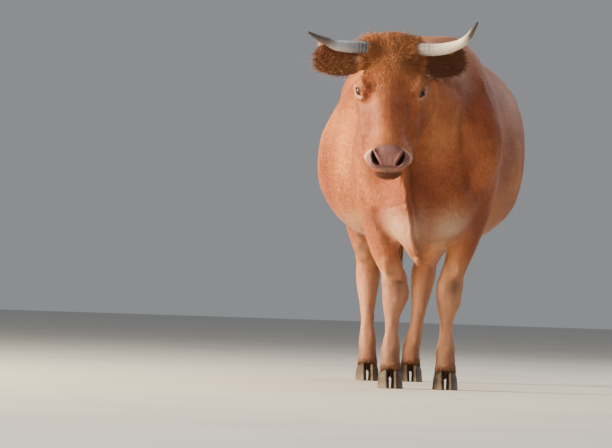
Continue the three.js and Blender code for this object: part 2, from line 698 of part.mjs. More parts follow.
// ---- Build the nodes ----
const finishes = {
  coat: new THREE.MeshStandardMaterial({ color: 0xa4532a, roughness: 0.75 }),
  muzzle: new THREE.MeshStandardMaterial({ color: 0x8d5548, roughness: 0.5 }),
  horn: new THREE.MeshStandardMaterial({ color: 0xd9cbb5, roughness: 0.4 }),
  hoof: new THREE.MeshStandardMaterial({ color: 0x4a3b33, roughness: 0.55 }),
  eye: new THREE.MeshStandardMaterial({ color: 0x140d0b, roughness: 0.08 }),
  udder: new THREE.MeshStandardMaterial({ color: 0xc98a72, roughness: 0.6 }),
};
const nodes = new Map();
const put = (name, finish, solid) => nodes.set(name, { finish, solid: neat(largest(solid)) });
const without = (solid, ...others) => others.reduce((rest, other) => rest.subtract(grown(other)), solid);
const clearOf = (solid, ...others) => others.reduce((rest, other) => rest.subtract(widened(other)), solid);

const eyes = { left: eyeball(1), right: eyeball(-1) };
const headSolid = fieldSolid(flesh, [-420, -800, 740], [90, -120, 1380], [28, 28, 28], (solid) =>
  without(solid.intersect(headSpace), eyes.left, eyes.right, socket(1), socket(-1)));
put("head", "coat", headSolid);
for (const [which, side] of [["left", 1], ["right", -1]]) {
  put(`eye_${which}`, "eye", eyes[which]);
  const hornSolid = largest(clearOf(horn(side), headSolid));
  put(`horn_${which}`, "horn", hornSolid);
  put(`ear_${which}`, "coat", clearOf(ear(side), headSolid, hornSolid));
}

const neckSolid = fieldSolid(flesh, [-400, -520, 560], [330, 90, 1440], [76, 70, 76], (solid) =>
  clearOf(solid.intersect(neckSide), headSpace, dewlapSpace));
put("neck", "coat", neckSolid);
for (const which of ["left", "right"])
  nodes.get(`ear_${which}`).solid = neat(largest(clearOf(nodes.get(`ear_${which}`).solid, neckSolid)));

const trunkSolid = fieldSolid(flesh, [-480, -330, 420], [520, 1560, 1440], [108, 122, 94], (solid) =>
  clearOf(solid.intersect(trunkSide), ...legSpaces, dewlapSpace));
const folds = FOLDS.map(([middle, size]) =>
  solidOf(new THREE.SphereGeometry(1, 9, 6).rotateX(0.7).rotateZ(0.3).scale(...size).translate(...middle)));
put("dewlap", "coat", fieldSolid(flesh, [-230, -470, 440], [50, -160, 940], [28, 40, 42], (solid) =>
  folds.reduce((sum, fold) => sum.add(fold), solid).intersect(dewlapSpace)));
put("trunk", "coat", trunkSolid);

// Each leg: an upper part, a lower part, two claws and two dewclaws.
function buildLeg(name, leg, space, cut, footY) {
  const side = leg.side;
  const reachX = side > 0 ? [-30, 420] : [-420, -10];
  const [y0, y1] = footY > 500 ? [900, 1640] : [-240, 300];
  const upper = fieldSolid(flesh, [reachX[0], y0, cut - 60], [reachX[1], y1, 920], [50, 54, 72], (solid) =>
    solid.intersect(space).intersect(beyond([0, 0, cut], [0, 0, 1])));
  put(`${name}_upper`, "coat", upper);
  const hoofX = side * leg.hoof;
  const toe = footY - leg.ahead;
  const claws = pair((out) => claw(hoofX, toe, out));
  const dews = pair((out) => dewclaw(hoofX, toe + 66, 98, out));
  const low = [hoofX - 130, toe - 140, 20];
  const high = [hoofX + 150, toe + 190, cut + 30];
  const lower = fieldSolid(flesh, low, high, [32, 34, 56], (solid) =>
    without(solid.intersect(space).intersect(beyond([0, 0, cut], [0, 0, -1]))
      .intersect(beyond([0, toe, coronet(0)], [0, coronet(0) - coronet(1), 1])), ...dews));
  put(`${name}_lower`, "coat", lower);
  const [outer, inner] = side > 0 ? claws : claws.toReversed();
  const [outerDew, innerDew] = side > 0 ? dews : dews.toReversed();
  put(`${name}_claw_outer`, "hoof", outer);
  put(`${name}_claw_inner`, "hoof", inner);
  put(`${name}_dewclaw_outer`, "hoof", outerDew);
  put(`${name}_dewclaw_inner`, "hoof", innerDew);
}
const legs = [
  ["foreleg_left", FORE.left, KNEE_CUT, -30],
  ["foreleg_right", FORE.right, KNEE_CUT, -30],
  ["hindleg_left", HIND.left, HOCK_CUT, HIND_BACK - 24],
  ["hindleg_right", HIND.right, HOCK_CUT, HIND_BACK - 24],
];
legs.forEach(([name, leg, cut, footY], i) => buildLeg(name, leg, legSpaces[i], cut, footY));

// Udder between the hind legs, with four teats.
const udderField = gather([
  [egg([-6, 1128, 664], [92, 148, 104]), 1],
  ...[-52, 48].flatMap((dy) => [-42, 38].map((x) =>
    [limb([[x, 1128 + dy, 600, 15, 15], [x * 1.1, 1126 + dy, 530, 9, 9]]), 16])),
]);
const thighs = ["left", "right"].map((which) => nodes.get(`hindleg_${which}_upper`).solid);
const udder = fieldSolid(udderField, [-130, 950, 500], [120, 1310, 790], [52, 58, 50], (solid) =>
  clearOf(solid, trunkSolid, ...thighs));
put("udder", "udder", udder);

// Tail: a dock that hangs from the rump, and the hair bundle at its end.
const TAIL = [
  [-8, 1350, 1336],
  [-8, 1426, 1334],
  [-9, 1478, 1282],
  [-10, 1496, 1180],
  [-10, 1494, 1000],
  [-10, 1488, 800],
];
const dock = taper(TAIL, (t) => mix(34, 15, Math.sqrt(t)), 10, 8);
put("tail_dock", "coat", clearOf(dock, trunkSolid));
const TAIL_END = [[-10, 1488, 812], [-10, 1487, 740], [-9, 1486, 620], [-8, 1484, 500], [-8, 1482, 420]];
const swell = (t) => 17 + 25 * Math.sin(Math.PI * Math.pow(t, 0.8)) * (1 - 0.25 * t) - 12 * t;
const brush = taper(TAIL_END, swell, 7, 8);
put("tail_switch", "coat", clearOf(brush, nodes.get("tail_dock").solid));

// ---- The cow, with its origin on the floor under the middle of its box ----
const cow = new THREE.Group();
for (const [name, { finish, solid }] of nodes) {
  const mesh = new THREE.Mesh(geometryOf(solid), finishes[finish]);
  mesh.name = name;
  cow.add(mesh);
}
const box = new THREE.Box3().setFromObject(cow);
const middle = box.getCenter(new THREE.Vector3());
cow.position.set(-middle.x, -middle.y, -box.min.z);

export default cow;
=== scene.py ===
# %% [markdown]
# # A standing beef cow
# The cow stands square with its head raised and looks ahead.
# A frame of plain solids already gives every part its true size and place.
# Each step below dresses one part of that frame: the skin, the head's features, the horns,
# the eyes, the hooves, and then the hair that lies over the skin.
# All lengths are in metres. The cow faces -Y, and its left side is +X.

# %% Tools and the frame
import math

import bpy
import numpy as np
from mathutils import Matrix, Vector
from mathutils.bvhtree import BVHTree


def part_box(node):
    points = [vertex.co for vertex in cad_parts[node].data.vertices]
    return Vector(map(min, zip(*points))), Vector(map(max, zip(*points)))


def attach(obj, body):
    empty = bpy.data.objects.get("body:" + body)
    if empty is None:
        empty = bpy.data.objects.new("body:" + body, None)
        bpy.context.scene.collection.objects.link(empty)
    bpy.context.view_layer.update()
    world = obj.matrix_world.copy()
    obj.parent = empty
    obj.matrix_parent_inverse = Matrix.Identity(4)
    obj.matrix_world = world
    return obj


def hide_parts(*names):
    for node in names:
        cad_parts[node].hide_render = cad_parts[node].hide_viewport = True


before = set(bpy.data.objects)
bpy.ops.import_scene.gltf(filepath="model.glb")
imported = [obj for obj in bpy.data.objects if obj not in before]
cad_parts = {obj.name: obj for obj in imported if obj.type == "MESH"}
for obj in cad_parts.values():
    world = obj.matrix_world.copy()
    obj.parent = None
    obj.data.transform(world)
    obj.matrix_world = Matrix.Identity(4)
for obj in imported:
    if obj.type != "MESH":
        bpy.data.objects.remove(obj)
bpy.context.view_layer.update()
bpy.ops.object.select_all(action="DESELECT")

# %% [markdown]
# Measures on an animal are easiest from one fixed place on it.
# Here that place is under the breast bone, level with the fore hooves: (0, 0, 0) is on the floor
# there. The left fore hoof's outer claw says where it lies in the frame, so the measures hold if
# the frame moves.

# %% A place to measure from
toe_low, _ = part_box("foreleg_left_claw_outer")
ORIGIN = toe_low - Vector((0.0989, -0.0920, 0.0))


def at(x, y, z):
    """A place on the cow, measured from the floor between the fore hooves."""
    return Vector((x, y, z)) + ORIGIN


print("measures start at", [round(v, 4) for v in ORIGIN])

# %% [markdown]
# A portrait of an animal is taken with a long lens, so that the body doesn't shrink away behind
# the head. The camera stands about 18 metres off, at knee height, and leans by two degrees.

# %% Camera
def place_camera():
    """A long lens, 18 m ahead of the cow and a little to one side."""
    ahead = Vector((0.0489, 0.9988, 0.01205)).normalized()
    right = ahead.cross(Vector((0, 0, 1))).normalized()
    up = right.cross(ahead)
    lean = math.radians(1.9)
    across = math.cos(lean) * right + math.sin(lean) * up
    upward = math.cos(lean) * up - math.sin(lean) * right
    turn = Matrix((across, upward, -ahead)).transposed().to_4x4()
    bpy.ops.object.camera_add()
    camera = bpy.context.object
    camera.name = "portrait_camera"
    camera.matrix_world = Matrix.Translation(at(-1.3347, -17.9562, 0.400)) @ turn
    camera.data.lens = 276.35
    camera.data.sensor_width = 36
    camera.data.clip_end = 200
    bpy.context.scene.camera = camera
    return camera


camera = place_camera()
print("camera at", [round(v, 2) for v in camera.location])
bpy.ops.object.select_all(action="DESELECT")

# %% [markdown]
# ## The skin
# On the animal one hide covers everything from the muzzle to the tail, with no seam.
# The solids are parted by thin cuts, so copies of them are swelled by a hair's breadth until they
# touch, joined, and remeshed into one closed surface. The eyes and nostrils are plugged first,
# because the lids and nostrils are shaped afterwards.

# %% Copies of the solids under the skin
LEGS = ["foreleg_left", "foreleg_right", "hindleg_left", "hindleg_right"]
FLESH = ["head", "neck", "dewlap", "trunk", "tail_dock", "udder", "ear_left", "ear_right"]
FLESH += [f"{leg}_{part}" for leg in LEGS for part in ("upper", "lower")]


def only(piece):
    """Selects one piece alone and makes it the active one."""
    bpy.ops.object.select_all(action="DESELECT")
    piece.select_set(True)
    bpy.context.view_layer.objects.active = piece
    return piece


def finish_with(piece, kind, **settings):
    """Adds a modifier of that kind with its settings and applies it."""
    only(piece)
    bpy.ops.object.modifier_add(type=kind)
    modifier = piece.modifiers[-1]
    for name, value in settings.items():
        setattr(modifier, name, value)
    bpy.ops.object.modifier_apply(modifier=modifier.name)


def edit_all(piece, step, **settings):
    """Runs one edit mode operator on all of a piece."""
    only(piece)
    bpy.ops.object.mode_set(mode="EDIT")
    bpy.ops.mesh.select_all(action="SELECT")
    step(**settings)
    bpy.ops.object.mode_set(mode="OBJECT")


def linked(name, mesh):
    """A mesh as a new object in the scene."""
    piece = bpy.data.objects.new(name, mesh)
    bpy.context.collection.objects.link(piece)
    return piece


def copy_of(node, name):
    """A copy of one solid with its loose triangles merged."""
    piece = linked(name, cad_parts[node].data.copy())
    edit_all(piece, bpy.ops.mesh.remove_doubles, threshold=1e-5)
    return piece


def joined(pieces, name):
    """Several pieces as one object."""
    only(pieces[0])
    for piece in pieces[1:]:
        piece.select_set(True)
    bpy.ops.object.join()
    pieces[0].name = name
    return pieces[0]


copies = [copy_of(node, f"copy_{node}") for node in FLESH]
for piece in copies:
    finish_with(piece, "DISPLACE", strength=0.0014, mid_level=0.0)
print("copies:", len(copies))

# %% [markdown]
# The head has a frame of its own. The nose points along -Y, the forehead faces +Z, and the poll,
# the top of the skull between the horns, is its origin. Everything on the face is measured in it.

# %% The head's own frame
POLL = (-0.172, -0.352, 1.298)
HEAD_TURN = -3.8  # degrees to the cow's right
HEAD = (
    Matrix.Translation(at(*POLL))
    @ Matrix.Rotation(math.radians(HEAD_TURN), 4, "Z")
    @ Matrix.Rotation(math.radians(58), 4, "X")
)
EYE_PLACE = Vector((0.109, -0.183, -0.049))  # the left eye's middle in the head's frame
EYE_RADIUS = 0.021
NOSTRIL_PLACE = Vector((0.050, -0.478, -0.084))


def sided(place, side):
    """The same place on the left (1) or right (-1) of the head."""
    return Vector((side * place.x, place.y, place.z))


def ball(place, radius, name, stretch=(1, 1, 1)):
    """A ball at a place in the head's frame."""
    bpy.ops.mesh.primitive_uv_sphere_add(segments=24, ring_count=16, radius=radius)
    piece = bpy.context.object
    piece.name = name
    piece.data.transform(Matrix.Diagonal((*stretch, 1)))
    piece.data.transform(HEAD @ Matrix.Translation(place))
    return piece


plugs = []
for side in (1, -1):
    plugs.append(ball(sided(EYE_PLACE, side), EYE_RADIUS + 0.003, f"eye_plug_{side + 1}"))
    plugs.append(ball(sided(NOSTRIL_PLACE, side), 0.024, f"nostril_plug_{side + 1}", (1, 0.9, 1)))
print("plugs:", len(plugs))

# %% One closed surface
skin = joined(copies + plugs, "skin")
solid_shape = BVHTree.FromObject(skin, bpy.context.evaluated_depsgraph_get())
skin.data.remesh_voxel_size = 0.0078
only(skin)
bpy.ops.object.voxel_remesh()
print("skin after the remesh:", len(skin.data.polygons), "faces")

# %% [markdown]
# The remesh copies the solids' flat facets, and a hide has none.
# Smoothing melts them. Broad forms such as the flank take many rounds and the legs fewer,
# and the head takes only a few, so that its bones still show.
# Smoothing also draws the surface in by some millimetres, which is the room that the hair needs.

# %% How much each place is smoothed
def rows(items, field, width=3):
    """One property of all items of a mesh, as an array with a row for each."""
    flat = np.empty(len(items) * width)
    items.foreach_get(field, flat)
    return flat.reshape(-1, width)


def places(piece):
    """All vertices of a piece as an array."""
    return rows(piece.data.vertices, "co")


def in_frame(points, matrix):
    """Places turned into the frame that a matrix stands for."""
    inverse = np.array(matrix.inverted())
    return points @ inverse[:3, :3].T + inverse[:3, 3]


def in_head(points):
    """Places turned into the head's frame."""
    return in_frame(points, HEAD)


def ease(value, low, high):
    """0 below low, 1 above high, and a soft step between them."""
    t = np.clip((value - low) / (high - low), 0, 1)
    return t * t * (3 - 2 * t)


def weigh(piece, name, weights):
    """A vertex group with one weight for each vertex, in steps of a twentieth."""
    group = piece.vertex_groups.new(name=name)
    steps = np.rint(weights * 20).astype(int)
    for step in range(1, 21):
        group.add(np.flatnonzero(steps == step).tolist(), step / 20, "REPLACE")
    return group


def near_head(points):
    """1 on the head and ears, 0 on the body."""
    local = in_head(points)
    reach = np.linalg.norm((local - (0, -0.20, -0.10)) / (0.36, 0.34, 0.24), axis=1)
    return 1 - ease(reach, 0.86, 1.12)


def near_leg(points):
    """1 on the legs and udder, 0 on the trunk."""
    height = points[:, 2] - ORIGIN.z
    low = 1 - ease(height, 0.47, 0.56)
    behind = ease(points[:, 1] - ORIGIN.y, 0.90, 1.0)
    return np.maximum(low, behind * (1 - ease(height, 0.62, 0.80)))


def near_tail(points):
    """1 on the tail, 0 on the trunk."""
    return ease(points[:, 1] - ORIGIN.y, 1.452, 1.470)


def plainness(points):
    """1 on the trunk, 0 on the head, legs and tail."""
    return (1 - near_head(points)) * (1 - near_leg(points)) * (1 - near_tail(points))


def smooth(rounds, group=""):
    """Smooths the skin, or only one vertex group of it."""
    finish_with(skin, "SMOOTH", factor=0.5, iterations=rounds, vertex_group=group)


smooth(6)
weigh(skin, "body", 1 - near_head(places(skin)))
smooth(10, "body")
print("smoothed vertices:", len(skin.data.vertices))

# %% [markdown]
# The trunk needs fewer faces than the head and legs, so it is thinned before its own smoothing.
# A broad surface with larger faces also needs fewer rounds to lose the facets.

# %% Fewer faces on the trunk
weigh(skin, "plain", ease(plainness(places(skin)), 0.2, 0.9))
finish_with(skin, "DECIMATE", ratio=0.56, vertex_group="plain", vertex_group_factor=10)
weigh(skin, "trunk", plainness(places(skin)))
smooth(70, "trunk")


def triangles(piece):
    """How many triangles a piece has."""
    return sum(len(face.vertices) - 2 for face in piece.data.polygons)


print("skin after thinning:", triangles(skin), "triangles")

# %% [markdown]
# The hair takes up the last few millimetres inside the solids' outline, so the skin is drawn in by
# that much. The face and lower legs have the shortest hair, and bare skin on the muzzle has none.

# %% Room for the hair
def facing(piece):
    """The normals of all vertices as an array."""
    return rows(piece.data.vertex_normals, "vector")


def move_to(piece, points):
    """Puts the vertices at new places."""
    piece.data.vertices.foreach_set("co", np.ascontiguousarray(points, dtype=np.float32).ravel())
    piece.data.update()


def coat_depth(points):
    """How deep the coat is at each place."""
    nose = 1 - ease(in_head(points)[:, 1], -0.40, -0.30)
    return 0.0045 - 0.0025 * near_head(points) - 0.0018 * nose * near_head(points)


points = places(skin)
move_to(skin, points - facing(skin) * coat_depth(points)[:, None])


def depth_under(points, shape):
    """How far inside a shape each place lies, negative outside."""
    depth = np.empty(len(points))
    for i, point in enumerate(points):
        spot, normal, _, gap = shape.find_nearest(Vector(point))
        depth[i] = gap if (spot - Vector(point)).dot(normal) > 0 else -gap
    return depth


depth = depth_under(places(skin)[::29], solid_shape) * 1000
print("skin under the solids, mm: least", round(depth.min(), 1), "middle",
      round(float(np.median(depth)), 1), "most", round(depth.max(), 1))

# %% [markdown]
# ## Muscles and folds
# Under the hide lie the shoulder blade, the muscles of the thigh, the hip bones and the loose folds
# of the neck. Each is a swelling or a groove that fades out round a place or along a line.
# Most come in pairs, so each is given once, for the left side.

# %% Swellings and grooves
def swell(points, normals, place, reach, height):
    """Raises the surface round a place, or lowers it where the height is negative."""
    away = ((points - np.array(at(*place))) / np.array(reach)) ** 2
    return normals * (height * np.exp(-2.2 * away.sum(1)))[:, None]


def hump(distance, width):
    """1 where the distance is 0, and a soft fall to 0 within about two widths."""
    return np.exp(-((distance / width) ** 2))


def on_cow(line):
    """A line's places, measured from the floor between the fore hooves, as arrays."""
    return [np.array(at(*place)) for place in line]


def from_line(points, line):
    """How far each place is from a line through the given places."""
    least = np.full(len(points), np.inf)
    for a, b in zip(line[:-1], line[1:]):
        run = b - a
        t = np.clip((points - a) @ run / (run @ run), 0, 1)
        least = np.minimum(least, np.linalg.norm(points - a - t[:, None] * run, axis=1))
    return least


def crease(points, normals, line, width, height):
    """A ridge along a line, or a groove where the height is negative."""
    return normals * (height * hump(from_line(points, on_cow(line)), width))[:, None]


SWELLINGS = [
    ((0.235, 0.085, 0.93), (0.10, 0.12, 0.14), 0.012),  # the upper arm's great muscle
    ((0.205, -0.120, 0.87), (0.06, 0.06, 0.08), 0.010),  # point of the shoulder
    ((0.100, 0.110, 1.325), (0.05, 0.09, 0.04), 0.006),  # top of the shoulder blade
    ((0.292, 0.920, 1.180), (0.09, 0.10, 0.10), -0.016),  # hollow of the flank
    ((0.232, 1.040, 1.292), (0.05, 0.06, 0.04), 0.012),  # hip bone
    ((0.092, 1.450, 1.240), (0.04, 0.04, 0.04), 0.008),  # pin bone
    ((0.255, 1.000, 0.830), (0.06, 0.08, 0.09), 0.010),  # stifle
    ((0.235, 1.200, 1.020), (0.09, 0.14, 0.16), 0.010),  # thigh
    ((0.130, -0.150, 0.700), (0.07, 0.07, 0.10), 0.008),  # breast muscle
]
LINES = [
    ([(0.085, 0.100, 1.300), (0.150, 0.030, 1.150), (0.205, -0.060, 0.960)], 0.020, 0.006),
    ([(0.187, -0.080, 1.188), (0.262, -0.094, 0.961), (0.245, -0.040, 0.732)], 0.018, 0.007),
    ([(0.130, 0.240, 1.270), (0.240, 0.185, 1.080), (0.285, 0.200, 0.880)], 0.030, -0.010),
    ([(0.070, -0.230, 1.130), (0.120, -0.190, 0.980), (0.150, -0.150, 0.780)], 0.026, -0.010),
    ([(0.225, 0.110, 0.800), (0.260, 0.190, 0.700)], 0.022, -0.008),
    ([(0.290, 0.960, 0.880), (0.320, 0.840, 0.720)], 0.030, 0.010),
    ([(0.150, 1.410, 1.120), (0.165, 1.350, 0.860)], 0.020, -0.007),
    ([(0.235, 1.120, 1.180), (0.262, 1.120, 0.900)], 0.030, -0.006),
    ([(0.010, -0.240, 1.240), (0.080, -0.170, 1.120), (0.070, -0.230, 1.000)], 0.011, -0.004),
    ([(0.050, -0.170, 1.280), (0.120, -0.110, 1.150), (0.110, -0.160, 0.960)], 0.012, -0.004),
    ([(0.080, -0.080, 1.300), (0.150, -0.040, 1.160), (0.150, -0.100, 0.990)], 0.013, -0.003),
]
RIBS = [
    ([(0.24, y, 1.16), (0.40, y + 0.06, 0.92), (0.36, y + 0.04, 0.72)], 0.016, 0.0022)
    for y in np.arange(0.34, 0.80, 0.062)
]


def other_side(line):
    """The same line on the cow's other side."""
    return [(-x, y, z) for x, y, z in line]


def shape_body(piece):
    """Adds all swellings and lines to the skin, on both sides."""
    points, normals = places(piece), facing(piece)
    change = np.zeros_like(points)
    for place, reach, height in SWELLINGS:
        for spot in (place, other_side([place])[0]):
            change += swell(points, normals, spot, reach, height)
    for line, width, height in LINES + RIBS:
        for run in (line, other_side(line)):
            change += crease(points, normals, run, width, height)
    move_to(piece, points + change)
    return len(SWELLINGS), len(LINES) + len(RIBS)


print("swellings and lines on each side:", shape_body(skin))

# %% [markdown]
# The dewlap's front edge is a thin rolled bead of skin that ends in two soft lobes, and a deep
# groove parts the breast from each arm.

# %% The dewlap's edge and the armpits
DEWLAP_EDGE = [(-0.108, -0.352, 0.820), (-0.101, -0.337, 0.753), (-0.099, -0.326, 0.712),
               (-0.088, -0.316, 0.671), (-0.077, -0.300, 0.619), (-0.074, -0.283, 0.586),
               (-0.062, -0.271, 0.549), (-0.048, -0.252, 0.524)]
LOBES = [((-0.050, -0.250, 0.527), 0.015, 0.007), ((-0.037, -0.232, 0.494), 0.019, 0.010)]
BREAST_FOLD = [(-0.154, -0.197, 0.685), (-0.130, -0.247, 0.693), (-0.106, -0.317, 0.702)]
LOBE_FOLD = [(-0.058, -0.256, 0.509), (-0.030, -0.246, 0.513)]
ARMPIT = [(-0.200, -0.090, 0.668), (-0.186, -0.098, 0.635), (-0.168, -0.095, 0.598),
          (-0.140, -0.090, 0.565)]


def dewlap_gap(points):
    """How far each place is from the dewlap's front edge."""
    return from_line(points, on_cow(DEWLAP_EDGE))


def shape_dewlap(piece):
    """Rolls the edge into a bead, hangs the lobes on it and cuts the grooves."""
    points, normals = places(piece), facing(piece)
    gap = dewlap_gap(points)
    bead = 0.0055 * hump(gap, 0.0065) - 0.0028 * hump(gap - 0.0170, 0.0075)
    change = normals * bead[:, None]
    for place, reach, height in LOBES:
        change += swell(points, normals, place, (reach, reach * 1.3, reach), height)
    change += crease(points, normals, LOBE_FOLD, 0.0045, -0.0045)
    change += crease(points, normals, BREAST_FOLD, 0.010, -0.0045)
    for line in (ARMPIT, other_side(ARMPIT)):
        change += crease(points, normals, line, 0.017, -0.013)
    move_to(piece, points + change)


print("dewlap edge through", len(DEWLAP_EDGE), "places, with", len(LOBES), "lobes")

# %% [markdown]
# ## The head
# People look at the eyes and the muzzle first, so the skin there gets much smaller faces before
# anything is shaped. Faces are chosen by their place in the head's frame and split in four.

# %% Smaller faces where the detail is
def face_middles(piece):
    """The middles of all faces."""
    return rows(piece.data.polygons, "center")


def edit_chosen(piece, kind, chosen, step, **settings):
    """Runs one edit mode operator on the chosen vertices or faces of a piece."""
    only(piece)
    bpy.ops.object.mode_set(mode="EDIT")
    bpy.ops.mesh.select_mode(type=kind)
    bpy.ops.mesh.select_all(action="DESELECT")
    bpy.ops.object.mode_set(mode="OBJECT")
    items = piece.data.polygons if kind == "FACE" else piece.data.vertices
    items.foreach_set("select", chosen)
    bpy.ops.object.mode_set(mode="EDIT")
    step(**settings)
    bpy.ops.object.mode_set(mode="OBJECT")


def split_faces(piece, chosen):
    """Splits each chosen face in four."""
    edit_chosen(piece, "FACE", chosen, bpy.ops.mesh.subdivide, number_cuts=1, smoothness=0)


# The muzzle's frame stands upright: x to the cow's left, y back into the head, z up.
MUZZLE = (
    Matrix.Translation(HEAD @ Vector((0, -0.478, -0.084)))
    @ Matrix.Rotation(math.radians(HEAD_TURN), 4, "Z")
)


def eye_frame(side):
    """x along the slit to its outer corner, y to the upper lid, z out of the eye."""
    out = Vector((0.75, -0.45, 0.485)).normalized()
    along = (Vector((0.535, 1, 0.10)) - out * out.dot(Vector((0.535, 1, 0.10)))).normalized()
    upper = out.cross(along)
    turn = Matrix((along, upper, out)).transposed().to_4x4()
    frame_left = Matrix.Translation(EYE_PLACE) @ turn
    mirror = Matrix.Diagonal((side, 1, 1, 1))
    return HEAD @ mirror @ frame_left


def eye_gap(points):
    """How far each place is from the nearer eye's middle."""
    middles = [np.array(HEAD @ sided(EYE_PLACE, side)) for side in (1, -1)]
    return np.minimum(*[np.linalg.norm(points - middle, axis=1) for middle in middles])


def near_muzzle(points, reach):
    """True within a stretched ball round the nostrils and mouth."""
    local = in_frame(points, MUZZLE) - (0, 0.03, -0.005)
    return np.linalg.norm(local / (1.0, 0.75, 0.85), axis=1) < reach


middles = face_middles(skin)
split_faces(skin, (eye_gap(middles) < 0.060) | near_muzzle(middles, 0.118))
middles = face_middles(skin)
split_faces(skin, (eye_gap(middles) < 0.040) | near_muzzle(middles, 0.088))
split_faces(skin, dewlap_gap(face_middles(skin)) < 0.034)
shape_dewlap(skin)
points = places(skin)
weigh(skin, "face", np.maximum(1 - ease(eye_gap(points), 0.05, 0.07), near_muzzle(points, 0.125)))
smooth(8, "face")
print("skin with a fine face:", triangles(skin), "triangles")

# %% [markdown]
# An eyelid is a thin curtain drawn over a ball. Seen in the eye's own frame it is a height above
# each place: inside the slit the skin dips under the eyeball, at the rim it stands just proud of
# it, and further out it climbs to the bone of the socket, with a crease between.

# %% Eyelids
BALL = EYE_RADIUS - 0.0004
SLIT = 0.0225  # half the slit's length
UPPER_OPEN, LOWER_OPEN = 0.0128, 0.0106  # how far the lids stand apart from the slit's line


def lid_edge(along):
    """Half the slit's opening towards the upper and the lower lid at each place along it."""
    left = np.clip(1 - (along / SLIT) ** 2, 0, 1)
    return UPPER_OPEN * left ** 0.72, LOWER_OPEN * left ** 0.8


def slit_gap(p, q):
    """How far outside the slit each place is, negative inside."""
    upper, lower = lid_edge(p)
    side_gap = np.where(q > 0, q - upper, -q - lower)
    corner = np.hypot(np.maximum(np.abs(p) - SLIT, 0), q)
    return np.where(np.abs(p) > SLIT, corner, side_gap)


def ball_height(p, q):
    """The eyeball's height above each place."""
    return np.sqrt(np.maximum(BALL**2 - p**2 - q**2, 0.0))


def socket_height(p, q):
    """The least height of the lids: they leave the ball and climb to the socket's rim."""
    return 0.0155 + 0.10 * np.maximum(np.hypot(p, q) - 0.016, 0)


def lid_height(p, q, old):
    """The skin's height in the eye's frame, from its old height further out."""
    gap, ring, above = slit_gap(p, q), socket_height(p, q), ease(q, -0.004, 0.006)
    cover = ball_height(p, q) + 0.0034
    cover = np.maximum(cover, ring) + 0.0012 * hump(cover - ring, 0.003)
    rim = 0.0026 * hump(np.maximum(gap, 0), 0.0016)
    crease_line = 0.0030 * hump(gap - 0.0085, 0.0021) * above
    roll = 0.0022 * hump(gap - 0.0135, 0.0032) * above
    bag = 0.0016 * hump(gap - 0.0075, 0.0016) * ease(-q, 0.000, 0.006)
    lid = cover - rim - crease_line + roll - bag
    inside = np.maximum(ball_height(p, q) - 0.0045, ring - 0.0060)
    shaped = np.where(gap < 0, inside, lid)
    outward = ease(np.hypot(p / 1.12, q), 0.0225, 0.0370)
    return shaped * (1 - outward) + old * outward


def shape_eyes(piece):
    """Draws the skin round both eyes into lids."""
    points = places(piece)
    for side in (1, -1):
        eye = eye_frame(side)
        local = in_frame(points, eye)
        out = np.array(eye)[:3, 2] / np.linalg.norm(np.array(eye)[:3, 2])
        near = (np.hypot(local[:, 0], local[:, 1]) < 0.045) & (local[:, 2] > -0.012)
        p, q, old = local[near].T
        points[near] += out * (lid_height(p, q, old) - old)[:, None]
    move_to(piece, points)


shape_eyes(skin)
print("slit, mm:", round(SLIT * 2000), "long and", round((UPPER_OPEN + LOWER_OPEN) * 1000), "open")

# %% [markdown]
# A cow's nostril is shaped like a comma: narrow at the outer top and wide at the inner bottom.
# The nostrils are pressed in from the front, and their wings are raised a little round them.
# The mouth is a groove that runs round the muzzle and up to its corners.

# %% Nostrils, nose pad and mouth
COMMA = [((0.0585, 0.0430), 0.0020), ((0.0560, 0.0260), 0.0075), ((0.0480, 0.0080), 0.0110),
         ((0.0390, -0.0040), 0.0085), ((0.0350, -0.0060), 0.0060)]


def comma_gap(x, z):
    """How far outside the nostril each place is, seen from the front."""
    least = np.full(len(x), np.inf)
    for ((ax, az), ra), ((bx, bz), rb) in zip(COMMA[:-1], COMMA[1:]):
        run = np.array([bx - ax, bz - az])
        t = np.clip(((x - ax) * run[0] + (z - az) * run[1]) / (run @ run), 0, 1)
        away = np.hypot(x - ax - t * run[0], z - az - t * run[1])
        least = np.minimum(least, away - ra - t * (rb - ra))
    return least


def pad_gap(local):
    """How far outside the bare nose pad each place in the muzzle's frame is."""
    x, y, z = local.T
    half = 0.072 - 0.020 * ease(z, 0.022, 0.062) - 0.016 * ease(-z, -0.004, 0.040)
    tall = np.where(z > 0.0125, (z - 0.0125) / 0.050, (0.0125 - z) / 0.052)
    flat = (np.abs(x) / half) ** 2.6 + tall ** 2.6
    return (flat ** (1 / 2.6) - 1) * 0.052 + np.maximum(y - 0.045, 0)


MOUTH = [(0, -0.02, -0.0385), (0.030, -0.012, -0.0385), (0.050, 0.010, -0.034),
         (0.062, 0.045, -0.014), (0.066, 0.085, 0.012), (0.064, 0.120, 0.040)]
MOUTH_LINES = []  # the mouth's line on each side, as laid on the skin


def laid_on(piece_shape, line, steps=6):
    """A line's places, with more between them, brought onto a surface."""
    dense = [a.lerp(b, i / steps) for a, b in zip(line[:-1], line[1:]) for i in range(steps)]
    return [np.array(piece_shape.find_nearest(place)[0]) for place in dense + [line[-1]]]


